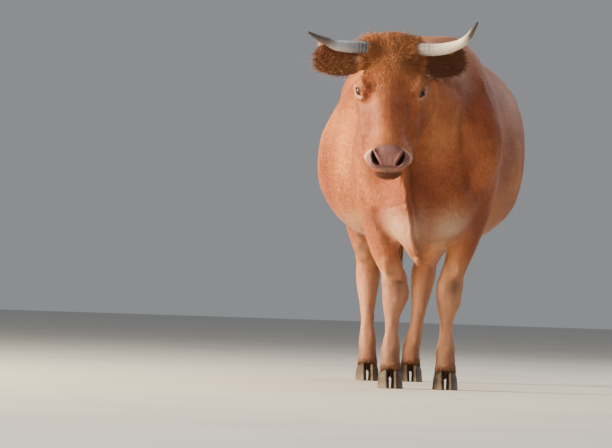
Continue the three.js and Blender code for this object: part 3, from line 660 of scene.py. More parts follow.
def shape_muzzle(piece):
    """Presses in the nostrils, edges the nose pad and cuts the mouth."""
    points, normals = places(piece), facing(piece)
    local = in_frame(points, MUZZLE)
    turn = np.array(MUZZLE)[:3, :3]
    front = (normals @ turn)[:, 1] < -0.05
    front &= (np.abs(local[:, 0]) < 0.11) & (local[:, 1] < 0.07)
    x, y, z = local[front].T
    gap = comma_gap(np.abs(x), z)
    press = 0.034 * ease(-gap, -0.0005, 0.0075) + 0.004 * ease(-gap, 0.004, 0.010)
    wing = 0.0042 * hump(gap - 0.0050, 0.0045) * (gap > -0.001)
    pad = pad_gap(local[front])
    lip = 0.0016 * hump(pad, 0.0040)
    seam = 0.0026 * hump(x, 0.0040)
    seam = seam * ease(0.030 - z, 0, 0.02) * ease(z, -0.045, -0.030)
    local[front, 1] = y + press - wing - lip * 0.6 + seam
    move_to(piece, local @ turn.T + np.array(MUZZLE)[:3, 3])
    shape = BVHTree.FromObject(piece, bpy.context.evaluated_depsgraph_get())
    points, normals = places(piece), facing(piece)
    for side in (1, -1):
        line = laid_on(shape, [MUZZLE @ sided(Vector(place), side) for place in MOUTH])
        mouth = from_line(points, line)
        groove = -0.0062 * hump(mouth, 0.0032)
        lips = 0.0030 * hump(mouth - 0.0095, 0.0055)
        points += normals * ((groove + lips) * (local[:, 0] * side > -0.001))[:, None]
        MOUTH_LINES.append(line)
    move_to(piece, points)


shape_muzzle(skin)
mouth_steps = np.diff(MOUTH_LINES[0], axis=0)
print("nostrils apart, mm:", round(2000 * COMMA[2][0][0]),
      "mouth length, mm:", round(np.linalg.norm(mouth_steps, axis=1).sum() * 1000))

# %% [markdown]
# Bones and folds of the face: the brow over each eye, the ridge that runs from below the eye to the
# cheek, the hollow above it, and the upright folds of the forehead between the brows.

# %% Bones and folds of the face
FACE_LINES = [
    ([(0.118, -0.120, -0.012), (0.108, -0.165, -0.004), (0.088, -0.205, -0.010)], 0.012, 0.005),
    ([(0.112, -0.215, -0.088), (0.098, -0.270, -0.104), (0.088, -0.330, -0.112)], 0.013, 0.0035),
    ([(0.088, -0.215, -0.030), (0.080, -0.290, -0.044), (0.070, -0.360, -0.058)], 0.018, -0.0035),
    ([(0.050, -0.060, -0.008), (0.047, -0.120, 0.004), (0.056, -0.185, -0.006)], 0.0055, -0.0026),
    ([(0.066, -0.090, -0.010), (0.066, -0.140, -0.002), (0.074, -0.190, -0.010)], 0.0050, -0.0022),
    ([(0.034, -0.130, 0.006), (0.036, -0.180, -0.002)], 0.0050, -0.0016),
    ([(0.104, -0.235, -0.100), (0.100, -0.330, -0.130), (0.086, -0.380, -0.140)], 0.012, -0.0026),
    ([(0.110, -0.085, -0.120), (0.116, -0.150, -0.190), (0.090, -0.235, -0.225)], 0.012, -0.0035),
    ([(0.070, -0.425, -0.055), (0.084, -0.395, -0.085), (0.090, -0.372, -0.120)], 0.006, -0.0030),
]


def shape_face(piece):
    """Adds all lines of the face to the skin, on both sides, but not on the lids."""
    points, normals = places(piece), facing(piece)
    shape = BVHTree.FromObject(piece, bpy.context.evaluated_depsgraph_get())
    change = np.zeros_like(points)
    for line, width, height in FACE_LINES:
        for side in (1, -1):
            run = laid_on(shape, [HEAD @ sided(Vector(place), side) for place in line])
            change += normals * (height * hump(from_line(points, run), width))[:, None]
    guard = ease(eye_gap(points), 0.030, 0.040)
    move_to(piece, points + change * guard[:, None])
    return len(FACE_LINES)


print("lines on each side of the face:", shape_face(skin))

# %% [markdown]
# The skin closes up round each horn in a soft collar, and the ears' rims are evened out.

# %% Horn collars and ear rims
# Places out, back and up from the poll. The left horn turns up, the right one stays level.
HORN_ROOT = [(0.030, 0.020, -0.050), (0.096, -0.024, -0.020), (0.160, -0.038, -0.017)]
HORN_TIPS = {
    1: [(0.212, -0.050, -0.008), (0.252, -0.068, 0.008), (0.277, -0.084, 0.030),
        (0.293, -0.096, 0.057), (0.312, -0.104, 0.090)],
    -1: [(0.212, -0.050, -0.013), (0.248, -0.066, 0.000), (0.277, -0.082, 0.0085),
         (0.302, -0.095, 0.0185), (0.325, -0.104, 0.0306)],
}


def horn_line(side):
    """The middle line of a horn, from inside the head to its tip."""
    return [np.array(at(POLL[0] + side * x, POLL[1] + y, POLL[2] + z))
            for x, y, z in HORN_ROOT + HORN_TIPS[side]]


def shape_collars(piece):
    """Closes the skin round each horn's base."""
    points = places(piece)
    for side in (1, -1):
        line = horn_line(side)
        run = line[2] - line[1]
        length = np.linalg.norm(run)
        along = (points - line[1]) @ (run / length)
        spine = line[1] + along[:, None] * (run / length)
        away = points - spine
        gap = np.linalg.norm(away, axis=1)
        collar = 0.0275 + 0.014 * np.exp(-(along + 0.020) / 0.018)
        near = (along > -0.020) & (gap < 0.060) & (gap > 0.005)
        pull = near * ease(along, -0.020, -0.004) * (1 - ease(gap, 0.044, 0.060))
        target = spine + away / np.maximum(gap, 1e-6)[:, None] * np.minimum(gap, collar)[:, None]
        points = points + (target - points) * pull[:, None]
    move_to(piece, points)


def reach_hooves(piece):
    """Draws the ends of the legs down over the tops of the hooves, and lets them flare a little."""
    points, normals = places(piece), facing(piece)
    height = points[:, 2] - ORIGIN.z
    low = 1 - ease(height, 0.050, 0.092)
    points[:, 2] -= 0.010 * low
    points[:, :2] += normals[:, :2] * (0.0030 * low)[:, None]
    move_to(piece, points)


shape_collars(skin)
reach_hooves(skin)
ear_rim = in_head(places(skin))
weigh(skin, "ears", ease(np.abs(ear_rim[:, 0]), 0.135, 0.160) * (ear_rim[:, 1] > -0.13))
smooth(6, "ears")

only(skin)
bpy.ops.object.shade_smooth()

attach(skin, "root")
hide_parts(*FLESH)

# %% [markdown]
# ## Markings and painted shade
# The coat is red-brown, darker on the brow, the chin, the knees and the feet, and pale round the
# eyes, at the sides of the muzzle and on the breast. The muzzle, lids and udder are bare. Shade is
# also painted in: darker in the armpits' grooves, and near black inside the nostrils and along the
# mouth. Each of these is a soft patch worked out from the place alone, so skin and hair can ask for
# the same one.

# %% Markings and painted shade
def patch(points, place, reach):
    """1 in the middle of a soft round patch, on both sides of the cow, 0 away from it."""
    out = np.zeros(len(points))
    for x in {place[0], -place[0]}:
        away = ((points - np.array(at(x, *place[1:]))) / np.array(reach)) ** 2
        out = np.maximum(out, np.exp(-1.6 * away.sum(1)))
    return out


def slit_distance(points):
    """How far outside the nearer eye's slit each place is."""
    least = np.full(len(points), 1.0)
    for side in (1, -1):
        p, q, out = in_frame(points, eye_frame(side)).T
        least = np.where(np.abs(out) < 0.045, np.minimum(least, slit_gap(p, q)), least)
    return least


EAR_BOXES = [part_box(f"ear_{side}") for side in ("left", "right")]


def ear_weight(points):
    """1 on the ears, 0 elsewhere."""
    inside = np.zeros(len(points), dtype=bool)
    for low, high in EAR_BOXES:
        inside |= ((points > np.array(low) - 0.006) & (points < np.array(high) + 0.006)).all(1)
    return ease(np.abs(in_head(points)[:, 0]), 0.112, 0.140) * inside


def udder_weight(points):
    """1 on the bare udder and teats."""
    local = points - np.array(at(-0.006, 1.128, 0.628))
    reach = np.linalg.norm(local / (0.112, 0.165, 0.116), axis=1)
    return (1 - ease(reach, 0.85, 1.05)) * (1 - ease(points[:, 2] - ORIGIN.z, 0.640, 0.700))


# The pale spot between horn and ear, in the head's frame.
EAR_NOTCH, NOTCH_REACH = np.array((0.128, -0.066, 0.010)), (0.020, 0.016, 0.030)


def armpit_gap(points):
    """How far each place is from the nearer armpit's groove."""
    return np.minimum(*[from_line(points, on_cow(line)) for line in (ARMPIT, other_side(ARMPIT))])


def mouth_gap(points):
    """How far each place is from the mouth."""
    return np.minimum(*[from_line(points, line) for line in MOUTH_LINES])


def strongest(*layers):
    """The greatest of several weights at each place."""
    return np.maximum.reduce(layers)


def marks_and_shade(points, normals):
    """How pale, dark and bare each place is, and how much shade is painted into the nostrils and
    mouth, each from 0 to 1. Dark includes painted shade in the armpits.
    """
    height = points[:, 2] - ORIGIN.z
    local, head = in_frame(points, MUZZLE), in_head(points)
    on_head = near_head(points)
    face = on_head * (head[:, 1] < -0.30)
    slit = slit_distance(points)
    pad = pad_gap(local)
    aside = np.abs(local[:, 0])

    chin = ease(-local[:, 2], 0.028, 0.036) * (1 - ease(local[:, 1], 0.075, 0.130))
    chin *= 1 - ease(aside + local[:, 2] * 0.6, 0.030, 0.046)
    band = (1 - ease(pad, 0.009, 0.016)) * ease(aside, 0.040, 0.066)
    notch = np.stack([np.abs(head[:, 0]), head[:, 1], head[:, 2]], axis=1)
    notch = (notch - EAR_NOTCH) / NOTCH_REACH
    pale = strongest(
        0.90 * band * face * (1 - chin) * (local[:, 2] > -0.045),  # sides of the muzzle
        0.50 * (1 - ease(slit, 0.004, 0.016)),  # round the eyes
        0.85 * np.exp(-1.6 * (notch**2).sum(1)),  # between horn and ear
        0.85 * patch(points, (0.085, -0.20, 0.612), (0.115, 0.14, 0.078)),  # breast
        0.30 * ease(-normals[:, 2], 0.5, 0.9) * (1 - on_head),  # all that faces down
        0.32 * near_leg(points) * (1 - ease(height, 0.36, 0.56)),  # lower legs
    )
    brow = on_head * ease(head[:, 1], -0.175, -0.06) * (1 - ease(np.abs(head[:, 0]), 0.085, 0.120))
    middle = hump(head[:, 0], 0.045) * ease(-head[:, 1], 0.05, 0.12)
    middle = middle * (1 - ease(-head[:, 1], 0.26, 0.36))
    inner_ear = ear_weight(points) * ease(-normals[:, 1], 0.15, 0.55)
    dark = strongest(
        0.88 * face * chin,
        0.40 * brow * (head[:, 2] > -0.08),
        0.34 * on_head * middle,  # down the middle of the forehead
        0.72 * patch(points, (0.108, -0.052, 0.400), (0.042, 0.06, 0.050)),  # knees
        0.60 * (1 - ease(height, 0.09, 0.22)),  # feet
        0.84 * inner_ear,
        # painted shade in the armpits' grooves
        0.70 * hump(armpit_gap(points), 0.020),
    )
    bare = strongest(
        face * (1 - ease(pad, 0.0055, 0.0095)) * (local[:, 2] > -0.048),  # nose pad
        1 - ease(slit, 0.0012, 0.0042),  # lids
        udder_weight(points),
    )
    nostril = ease(-comma_gap(aside, local[:, 2]), 0.0005, 0.0065)
    # painted shade: near black inside the nostrils and along the mouth
    deep = strongest(
        (aside < 0.10) * (local[:, 1] < 0.06) * nostril,
        0.85 * hump(mouth_gap(points), 0.0026),
    )
    return np.clip(np.stack([pale, dark, bare, deep], axis=1), 0, 1)


def lie_weights(points):
    """How much the fine pattern runs along the trunk, down the legs and along the face."""
    head, leg = near_head(points), np.maximum(near_leg(points), near_tail(points))
    return np.stack([(1 - head) * (1 - leg), (1 - head) * leg, head, np.ones(len(points))], axis=1)


def store(piece, name, values):
    """Keeps four numbers for each vertex, or the same four for all, where a material reads them."""
    layer = piece.data.attributes.new(name, "FLOAT_COLOR", "POINT")
    values = np.broadcast_to(values, (len(piece.data.vertices), 4))
    layer.data.foreach_set("color", np.ascontiguousarray(values, dtype=np.float32).ravel())


store(skin, "marks", marks_and_shade(places(skin), facing(skin)))
store(skin, "lie", lie_weights(places(skin)))
store(skin, "tint", (0.5, 0.5, 0.5, 1.0))
print("markings on", len(skin.data.vertices), "vertices")

# %% [markdown]
# ## Materials
# A coat isn't one colour. Broad clouds of redder and yellower brown lie under a fine streaky
# pattern that runs with the hair, and the markings and painted shade are laid over both. Small
# helpers keep the node trees short to read.

# %% Helpers for node trees
class Recipe:
    """A material's nodes, made and linked in one call each."""

    def __init__(self, name):
        self.material = bpy.data.materials.new(name)
        self.material.use_nodes = True
        self.tree = self.material.node_tree
        self.shader = self.tree.nodes["Principled BSDF"]

    def node(self, kind, inputs=None, **settings):
        made = self.tree.nodes.new(kind)
        for name, value in settings.items():
            setattr(made, name, value)
        for name, value in (inputs or {}).items():
            self.put(made, name, value)
        return made

    def put(self, node, name, value):
        if isinstance(value, bpy.types.NodeSocket):
            self.tree.links.new(value, node.inputs[name])
        else:
            node.inputs[name].default_value = value

    def place(self):
        """The place on the object itself."""
        return self.node("ShaderNodeTexCoord").outputs["Object"]

    def height(self, place, axis="Z"):
        """One coordinate of a place."""
        return self.node("ShaderNodeSeparateXYZ", {"Vector": place}).outputs[axis]

    def stored(self, name):
        """The four numbers that the mesh keeps under a name."""
        layer = self.node("ShaderNodeAttribute", attribute_name=name)
        parts = self.node("ShaderNodeSeparateColor", {"Color": layer.outputs["Color"]})
        return [*parts.outputs, layer.outputs["Alpha"]]

    def maths(self, operation, first, second=0.0):
        made = self.node("ShaderNodeMath", operation=operation)
        self.put(made, 0, first)
        self.put(made, 1, second)
        return made.outputs[0]

    def plus(self, first, second):
        return self.maths("ADD", first, second)

    def times(self, first, second):
        return self.maths("MULTIPLY", first, second)

    def rest(self, value, whole=1.0):
        """What a value leaves of the whole."""
        return self.maths("SUBTRACT", whole, value)

    def noise(self, vector, scale, detail=3.0, rough=0.55):
        return self.node("ShaderNodeTexNoise", {"Vector": vector, "Scale": scale, "Detail": detail,
                                                "Roughness": rough}).outputs["Fac"]

    def grain(self, vector, stretch, detail=4, rough=0.6, turn=(0, 0, 0)):
        """A noise that is stretched by its own scale along each axis."""
        stretched = self.node("ShaderNodeMapping", {"Vector": vector, "Scale": stretch,
                                                    "Rotation": turn}, vector_type="POINT")
        return self.noise(stretched.outputs["Vector"], 1.0, detail, rough)

    def mix(self, amount, first, second, blend="MIX"):
        made = self.node("ShaderNodeMix", data_type="RGBA", blend_type=blend)
        for socket, value in ((0, amount), (6, first), (7, second)):
            self.put(made, socket, value)
        return made.outputs[2]

    def ramp(self, value, *stops):
        """Colours, or greys given as one number, at places along a value."""
        made = self.node("ShaderNodeValToRGB", {"Fac": value})
        ramp = made.color_ramp
        while len(ramp.elements) < len(stops):
            ramp.elements.new(0.5)
        for element, (place, colour) in zip(ramp.elements, stops):
            element.position = place
            element.color = (*colour, 1) if isinstance(colour, tuple) else (colour,) * 3 + (1,)
        return made.outputs["Color"]

    def tone(self, amount, base, value, *stops):
        """A colour made darker and lighter by a ramp of greys."""
        return self.mix(amount, base, self.ramp(value, *stops), "MULTIPLY")

    def surface(self, colour, rough, **sockets):
        """Sets the colour, the roughness and any other socket of the surface."""
        self.put(self.shader, "Base Color", colour)
        self.put(self.shader, "Roughness", rough)
        for name, value in sockets.items():
            self.shader.inputs[name.replace("_", " ")].default_value = value

    def bump(self, height, strength, distance):
        made = self.node("ShaderNodeBump", {"Height": height, "Strength": strength,
                                            "Distance": distance})
        self.put(self.shader, "Normal", made.outputs["Normal"])


def rgb(red, green, blue):
    return (red, green, blue, 1)


print("recipe helper ready")

# %% Coat and skin
RED = (0.235, 0.058, 0.024)
BROWN = (0.325, 0.097, 0.037)
GOLD = (0.430, 0.160, 0.056)
CREAM = (0.76, 0.54, 0.38)
UMBER = (0.026, 0.009, 0.007)
NOSE_DARK = (0.120, 0.046, 0.040)
NOSE_PINK = (0.290, 0.130, 0.115)
UDDER_DARK = (0.46, 0.20, 0.14)
UDDER_PINK = (0.66, 0.36, 0.27)
# near black painted shade for inside the nostrils and along the mouth
HOLLOW_SHADE = (0.010, 0.004, 0.004)
BEHIND_HEAD = 0.3  # bare skin behind this place along the body is the udder's


def coat_recipe(name, hair):
    """The red-brown coat. Hair takes its own slight tint; skin has the streaks as bump."""
    r = Recipe(name)
    place = r.place()
    pale, dark, bare, deep = r.stored("marks")
    lie = r.stored("lie")
    along_trunk = r.grain(place, (150, 20, 110), 3)
    down_legs = r.grain(place, (190, 190, 26), 3)
    along_face = r.grain(place, (210, 60, 40), 3, turn=(math.radians(-32), 0, 0))
    streaks = r.plus(r.times(along_trunk, lie[0]),
                     r.plus(r.times(down_legs, lie[1]), r.times(along_face, lie[2])))
    mottle = r.noise(place, 17, 4, 0.6)
    base = r.ramp(r.noise(place, 3.2, 3, 0.5), (0.34, RED), (0.50, BROWN), (0.66, GOLD))
    base = r.tone(0.55, base, mottle, (0.30, 0.82), (0.70, 1.12))
    base = r.tone(0.50, base, streaks, (0.34, 0.60), (0.66, 1.32))
    if hair:
        base = r.tone(0.9, base, r.stored("tint")[0], (0.0, 0.84), (1.0, 1.16))
    base = r.mix(pale, base, r.mix(0.35, rgb(*CREAM), base))
    base = r.mix(dark, base, r.mix(0.12, rgb(*UMBER), base))

    pebbles = r.node("ShaderNodeTexVoronoi", {"Vector": place, "Scale": 300.0}, feature="F1")
    pebbles = pebbles.outputs["Distance"]
    behind = r.maths("GREATER_THAN", r.height(place, "Y"), BEHIND_HEAD)
    nose = r.ramp(mottle, (0.35, NOSE_DARK), (0.65, NOSE_PINK))
    nude = r.mix(behind, nose, r.ramp(mottle, (0.3, UDDER_DARK), (0.7, UDDER_PINK)))
    # lighter on the pebbles' middles and darker in the grooves between them: painted shade in the
    # grooves
    nude = r.tone(0.35, nude, pebbles, (0.0, 1.15), (0.75, 0.55))
    # painted shade: inside the nostrils and along the mouth the colour goes near black
    base = r.mix(r.times(deep, 0.93), r.mix(bare, base, nude), rgb(*HOLLOW_SHADE))

    matt = r.plus(r.times(streaks, 0.18), 0.50)
    wet = r.plus(r.times(pebbles, 0.25), 0.30)
    r.surface(base, r.plus(r.times(matt, r.rest(bare)), r.times(wet, bare)),
              Sheen_Weight=0.05, Sheen_Roughness=0.35, Sheen_Tint=(1.0, 0.78, 0.60, 1),
              Specular_IOR_Level=0.22)
    if not hair:
        bumps = r.times(r.rest(pebbles, 0.7), bare)
        r.bump(r.plus(r.times(streaks, r.rest(bare)), r.times(bumps, 0.55)), 0.55, 0.0022)
    return r.material


skin_material = coat_recipe("cow_skin", hair=False)
hair_material = coat_recipe("cow_hair", hair=True)


def dress(piece, material):
    """Gives a piece one material in place of any that it has."""
    piece.data.materials.clear()
    piece.data.materials.append(material)
    faces = piece.data.polygons
    faces.foreach_set("material_index", np.zeros(len(faces), dtype=np.int32))


dress(skin, skin_material)
print("coat materials:", skin_material.name, hair_material.name)

# %% [markdown]
# ## Eyes
# A cow's eye is a dark brown ball with a pupil that lies as a level bar, under a clear front that
# bulges a little. Each ball gets a flat map of its own front, so that the iris and pupil can be
# drawn on it by distance.

# %% Eyeballs
def make_eye(which, side):
    """A ball with a bulging front, mapped flat from its own axis."""
    bpy.ops.mesh.primitive_uv_sphere_add(segments=48, ring_count=32, radius=BALL)
    eye = bpy.context.object
    eye.name = f"eyeball_{which}"
    points = places(eye)
    tilt = np.arccos(np.clip(points[:, 2] / BALL, -1, 1))
    bulge = 1 + 0.085 * (1 - ease(tilt, 0.20, 0.72))
    eye.data.uv_layers.active.name = "EyeFront"
    corners = np.empty(len(eye.data.loops), dtype=int)
    eye.data.loops.foreach_get("vertex_index", corners)
    flat = points[:, :2] / BALL * 0.45 + 0.5
    eye.data.uv_layers.active.data.foreach_set("uv", flat[corners].ravel())
    move_to(eye, points * bulge[:, None])
    eye.data.transform(eye_frame(side))
    if side < 0:
        edit_all(eye, bpy.ops.mesh.normals_make_consistent, inside=False)
    only(eye)
    bpy.ops.object.shade_smooth()
    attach(eye, "root")
    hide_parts(f"eye_{which}")
    return eye


eyes = [make_eye("left", 1), make_eye("right", -1)]
print("eyes:", [round(BALL * 2000, 1)] * 2, "mm across")

# %% [markdown]
# A thin bare rim edges each lid. It is a tube along the slit, laid on the ball.

# %% Lid rims
def tube(line, radii, sides, name, closed=False):
    """A round tube along a line, with a radius for each place."""
    line = np.array(line)
    ahead = np.roll(line, -1, 0) - np.roll(line, 1, 0)
    if not closed:
        ahead[0], ahead[-1] = line[1] - line[0], line[-1] - line[-2]
    ahead /= np.linalg.norm(ahead, axis=1)[:, None]
    across = np.cross(ahead, (0.31, 0.87, 0.38))
    across /= np.linalg.norm(across, axis=1)[:, None]
    upward = np.cross(ahead, across)
    turn = np.arange(sides) / sides * 2 * math.pi
    ring = np.cos(turn)[None, :, None] * across[:, None]
    ring = ring + np.sin(turn)[None, :, None] * upward[:, None]
    points = line[:, None] + ring * np.asarray(radii)[:, None, None]
    count = len(line)
    faces = []
    for i in range(count if closed else count - 1):
        a, b = i * sides, (i + 1) % count * sides
        faces += [(a + k, a + (k + 1) % sides, b + (k + 1) % sides, b + k) for k in range(sides)]
    if not closed:
        faces += [tuple(range(sides))[::-1], tuple(range((count - 1) * sides, count * sides))]
    mesh = bpy.data.meshes.new(name)
    mesh.from_pydata(points.reshape(-1, 3).tolist(), [], faces)
    piece = linked(name, mesh)
    edit_all(piece, bpy.ops.mesh.normals_make_consistent, inside=False)
    bpy.ops.object.shade_smooth()
    return piece


def slit_line(count):
    """Places round the slit in the eye's frame, on the ball."""
    turn = np.arange(count) / count * 2 * math.pi
    p = SLIT * np.cos(turn)
    upper, lower = lid_edge(p)
    q = np.where(np.sin(turn) >= 0, upper, -lower)
    height = np.maximum(ball_height(p, q) + 0.0012, socket_height(p, q) - 0.0006)
    return np.stack([p, q, height], axis=1)


def in_world(points, matrix):
    """Places turned out of the frame that a matrix stands for."""
    turn = np.array(matrix)
    return points @ turn[:3, :3].T + turn[:3, 3]


rims = []
for side in (1, -1):
    line = in_world(slit_line(64), eye_frame(side))
    rims.append(tube(line, np.full(64, 0.00155), 8, f"rim_{side + 1}", closed=True))
lid_rims = joined(rims, "eyelid_rims")
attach(lid_rims, "root")
print("lid rims:", triangles(lid_rims), "triangles")

# %% [markdown]
# ## Horns
# A horn grows from its root, so it is ringed at the base, smooth in the middle and ends in a point.
# A copy of each solid would keep its flat sides, so a fine tube is drawn along the same line.

# %% Horns
def smooth_line(line, steps):
    """A Catmull-Rom curve through the places."""
    ends = [2 * line[0] - line[1], *line, 2 * line[-1] - line[-2]]
    out = []
    for a, b, c, d in zip(ends[:-3], ends[1:-2], ends[2:-1], ends[3:]):
        for t in np.arange(steps) / steps:
            out.append(0.5 * ((2 * b) + (c - a) * t + (2 * a - 5 * b + 4 * c - d) * t**2
                              + (3 * b - a - 3 * c + d) * t**3))
    return np.array(out + [line[-1]])


def horn_run(side):
    """A horn's smooth middle line, and how far along it each place is."""
    line = smooth_line(horn_line(side), 22)
    return line, np.concatenate([[0], np.cumsum(np.linalg.norm(np.diff(line, axis=0), axis=1))])


HORN_SIDES = 40


def make_horn(which, side):
    """A tapered, ringed tube along the horn's line."""
    line, run = horn_run(side)
    visible = np.clip((run - 0.085) / (run[-1] - 0.085), 0, 1)
    point = np.sqrt(np.maximum(1 - np.maximum(visible - 0.42, 0) / 0.585, 0.004))
    girth = (0.0250 - 0.0042 * np.clip(visible / 0.5, 0, 1)) * point
    ringed = 1 - ease(visible, 0.10, 0.42)
    rings = np.sin(run * 2 * math.pi / 0.0125 + 2.2 * np.sin(run * 70)) * 0.0005 * ringed
    horn = tube(line, np.maximum(girth + rings, 0.0012), HORN_SIDES, f"horn_{which}_grown")
    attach(horn, "root")
    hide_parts(f"horn_{which}")
    return horn


horns = [make_horn("left", 1), make_horn("right", -1)]
print("horns:", [triangles(horn) for horn in horns], "triangles")

# %% [markdown]
# ## Hooves
# Each foot stands on two claws, with two small dewclaws behind. The walls keep a crisp edge at
# the sole, so those edges are creased before the surface is subdivided.

# %% Hooves
def make_hooves(leg):
    """The claws and dewclaws of one foot as one piece."""
    kinds = ("claw_outer", "claw_inner", "dewclaw_outer", "dewclaw_inner")
    parts = [f"{leg}_{kind}" for kind in kinds]
    claws = []
    for node in parts:
        claw = copy_of(node, f"copy_{node}")
        if "dew" not in node:
            sole = places(claw)[:, 2] < 0.001
            edit_chosen(claw, "VERT", sole, bpy.ops.transform.edge_crease, value=0.86)
        finish_with(claw, "SUBSURF", levels=3, render_levels=3)
        claws.append(claw)
    hooves = joined(claws, f"hooves_{leg}")
    bpy.ops.object.shade_smooth()
    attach(hooves, "root")
    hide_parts(*parts)
    return hooves


hooves = [make_hooves(leg) for leg in LEGS]
print("hooves:", [triangles(foot) for foot in hooves], "triangles")

# %% [markdown]
# Horn is translucent and layered: blue-grey and ringed where it is new, ivory in the middle and
# near black at the old, worn tip. The distance along it is measured once and kept on the mesh.
# Hooves are darker, with faint level rings of growth and dust at the sole.

# %% Horn and hoof
def along_horn(horn, side):
    """Keeps how far each place lies along the horn, from 0 at the head to 1 at the tip."""
    _, run = horn_run(side)
    visible = np.clip((run - 0.070) / (run[-1] - 0.070), 0, 1)
    per_place = np.repeat(visible, HORN_SIDES)
    store(horn, "along", np.stack([per_place] * 3 + [np.ones(len(per_place))], axis=1))


def horn_recipe(name, tip_start, root_colour, middle_colour, ringed):
    """Layered horn: its colours from root to tip, flakes along it and rings near the root."""
    r = Recipe(name)
    place = r.place()
    along = r.stored("along")[0]
    cloud = r.noise(place, 26, 4, 0.6)
    wander = r.plus(along, r.times(r.maths("SUBTRACT", cloud, 0.5), 0.10))
    base = r.ramp(wander, (0.0, (0.16, 0.135, 0.13)), (0.16, root_colour), (0.40, middle_colour),
                  (tip_start - 0.14, middle_colour), (tip_start, (0.12, 0.09, 0.08)),
                  (1.0, (0.030, 0.025, 0.028)))
    flakes = r.grain(place, (30, 260, 260))
    base = r.tone(0.45, base, flakes, (0.32, 0.66), (0.68, 1.20))
    growth = r.maths("SINE", r.times(r.plus(along, r.times(cloud, 0.03)), 150.0))
    near_root = r.ramp(along, (0.12, ringed), (0.46, 0.0))
    base = r.tone(near_root, base, growth, (0.05, 0.42), (0.60, 1.06))
    r.surface(base, r.plus(r.times(flakes, 0.30), 0.20), Coat_Weight=0.15)
    r.bump(flakes, 0.30, 0.0008)
    return r.material


HORN_LOOKS = [(0.80, (0.42, 0.36, 0.31), (0.72, 0.62, 0.50), 0.30),  # left: ivory with a dark tip
              (0.66, (0.135, 0.140, 0.160), (0.34, 0.34, 0.36), 0.75)]  # right: slate grey
for horn, side, look in zip(horns, (1, -1), HORN_LOOKS):
    along_horn(horn, side)
    dress(horn, horn_recipe(f"{horn.name}_layers", *look))


def hoof_recipe():
    """Dark horn with level rings, and dust near the sole."""
    r = Recipe("hoof_horn")
    place = r.place()
    cloud = r.noise(place, 45, 4, 0.6)
    rings = r.grain(place, (10, 10, 330), 2, 0.5)
    base = r.ramp(cloud, (0.30, (0.030, 0.020, 0.016)), (0.70, (0.095, 0.065, 0.048)))
    base = r.tone(0.5, base, rings, (0.35, 0.65), (0.65, 1.35))
    dust = r.times(r.times(r.rest(r.times(r.height(place), 36.0)), 0.6), cloud)
    base = r.mix(r.maths("MAXIMUM", dust, 0.0), base, rgb(0.30, 0.23, 0.16))
    r.surface(base, r.plus(r.times(cloud, 0.35), 0.44), Specular_IOR_Level=0.25)
    r.bump(rings, 0.5, 0.0012)
    return r.material


hoof_material = hoof_recipe()
for foot in hooves:
    dress(foot, hoof_material)
print("horn and hoof materials made")

# %% [markdown]
# The eye is drawn on its flat map: a brown iris with fine spokes, a bar-shaped pupil across it, and
# a ring of darker brown where the iris ends. The clear front is a coat over all of it.

# %% Eye and lid rim
def eye_recipe():
    """Iris, level pupil, dark ring and the pink round it, drawn by distance on the flat map."""
    r = Recipe("eye_wet")
    front = r.node("ShaderNodeUVMap", uv_map="EyeFront").outputs["UV"]
    centred = r.node("ShaderNodeVectorMath", {0: front, 1: (0.5, 0.5, 0)}, operation="SUBTRACT")
    x, y, _ = r.node("ShaderNodeSeparateXYZ", {"Vector": centred.outputs["Vector"]}).outputs

    def away(across):
        """The distance from the middle, with one direction stretched or not."""
        squares = [r.maths("POWER", r.maths("ABSOLUTE", value), 2.0) for value in (across, y)]
        return r.maths("SQRT", r.plus(*squares))

    reach, bar = away(x), away(r.times(x, 0.62))
    spokes = r.grain(front, (34, 34, 1), 4, 0.7)
    iris = r.ramp(spokes, (0.30, (0.012, 0.005, 0.003)), (0.70, (0.050, 0.019, 0.008)))
    base = r.mix(r.ramp(bar, (0.150, 1.0), (0.180, 0.0)), iris, rgb(0.002, 0.002, 0.004))
    base = r.mix(r.ramp(reach, (0.340, 0.0), (0.390, 1.0)), base, rgb(0.012, 0.006, 0.005))
    base = r.mix(r.ramp(reach, (0.425, 0.0), (0.445, 1.0)), base, rgb(0.20, 0.09, 0.08))
    r.surface(base, 0.08, Specular_IOR_Level=0.26, Coat_Weight=0.10, Coat_Roughness=0.03)
    return r.material


def rim_recipe():
    """The bare pink-brown skin of the lids' edges."""
    r = Recipe("lid_rim_skin")
    cloud = r.noise(r.place(), 260, 3, 0.6)
    colour = r.ramp(cloud, (0.3, (0.13, 0.035, 0.030)), (0.7, (0.34, 0.13, 0.11)))
    r.surface(colour, r.plus(r.times(cloud, 0.25), 0.22))
    return r.material


eye_material = eye_recipe()
for eye in eyes:
    dress(eye, eye_material)
dress(lid_rims, rim_recipe())
print("eye materials made")

# %% [markdown]
# ## Hair
# Hair that the renderer draws as strands would be lost when the model is saved, so it is modelled
# as tufts: thin blades of a few faces, rooted in the skin, that lie along the body and end in a
# point. Thousands of them are made at once from arrays. One blade has three edges, and its rings
# shrink from root to tip.

# %% The skin's own map
def skin_map(piece):
    """A coarse copy of the skin, unwrapped, that gives every root its place on a map."""
    chart = linked("skin_chart", piece.data.copy())
    finish_with(chart, "DECIMATE", ratio=0.045)
    edit_all(chart, bpy.ops.mesh.quads_convert_to_tris)
    edit_all(chart, bpy.ops.uv.smart_project, angle_limit=math.radians(66), island_margin=0.002)
    shape = BVHTree.FromObject(chart, bpy.context.evaluated_depsgraph_get())
    corners = np.array([list(face.vertices)[:3] for face in chart.data.polygons])
    spots = places(chart)[corners]
    flat = rows(chart.data.uv_layers.active.data, "uv", 2)
    starts = np.array([face.loop_start for face in chart.data.polygons])
    uvs = np.stack([flat[starts + i] for i in range(3)], axis=1)
    bpy.data.objects.remove(chart)
    return shape, spots, uvs


CHART_SHAPE, CHART_SPOTS, CHART_UVS = skin_map(skin)


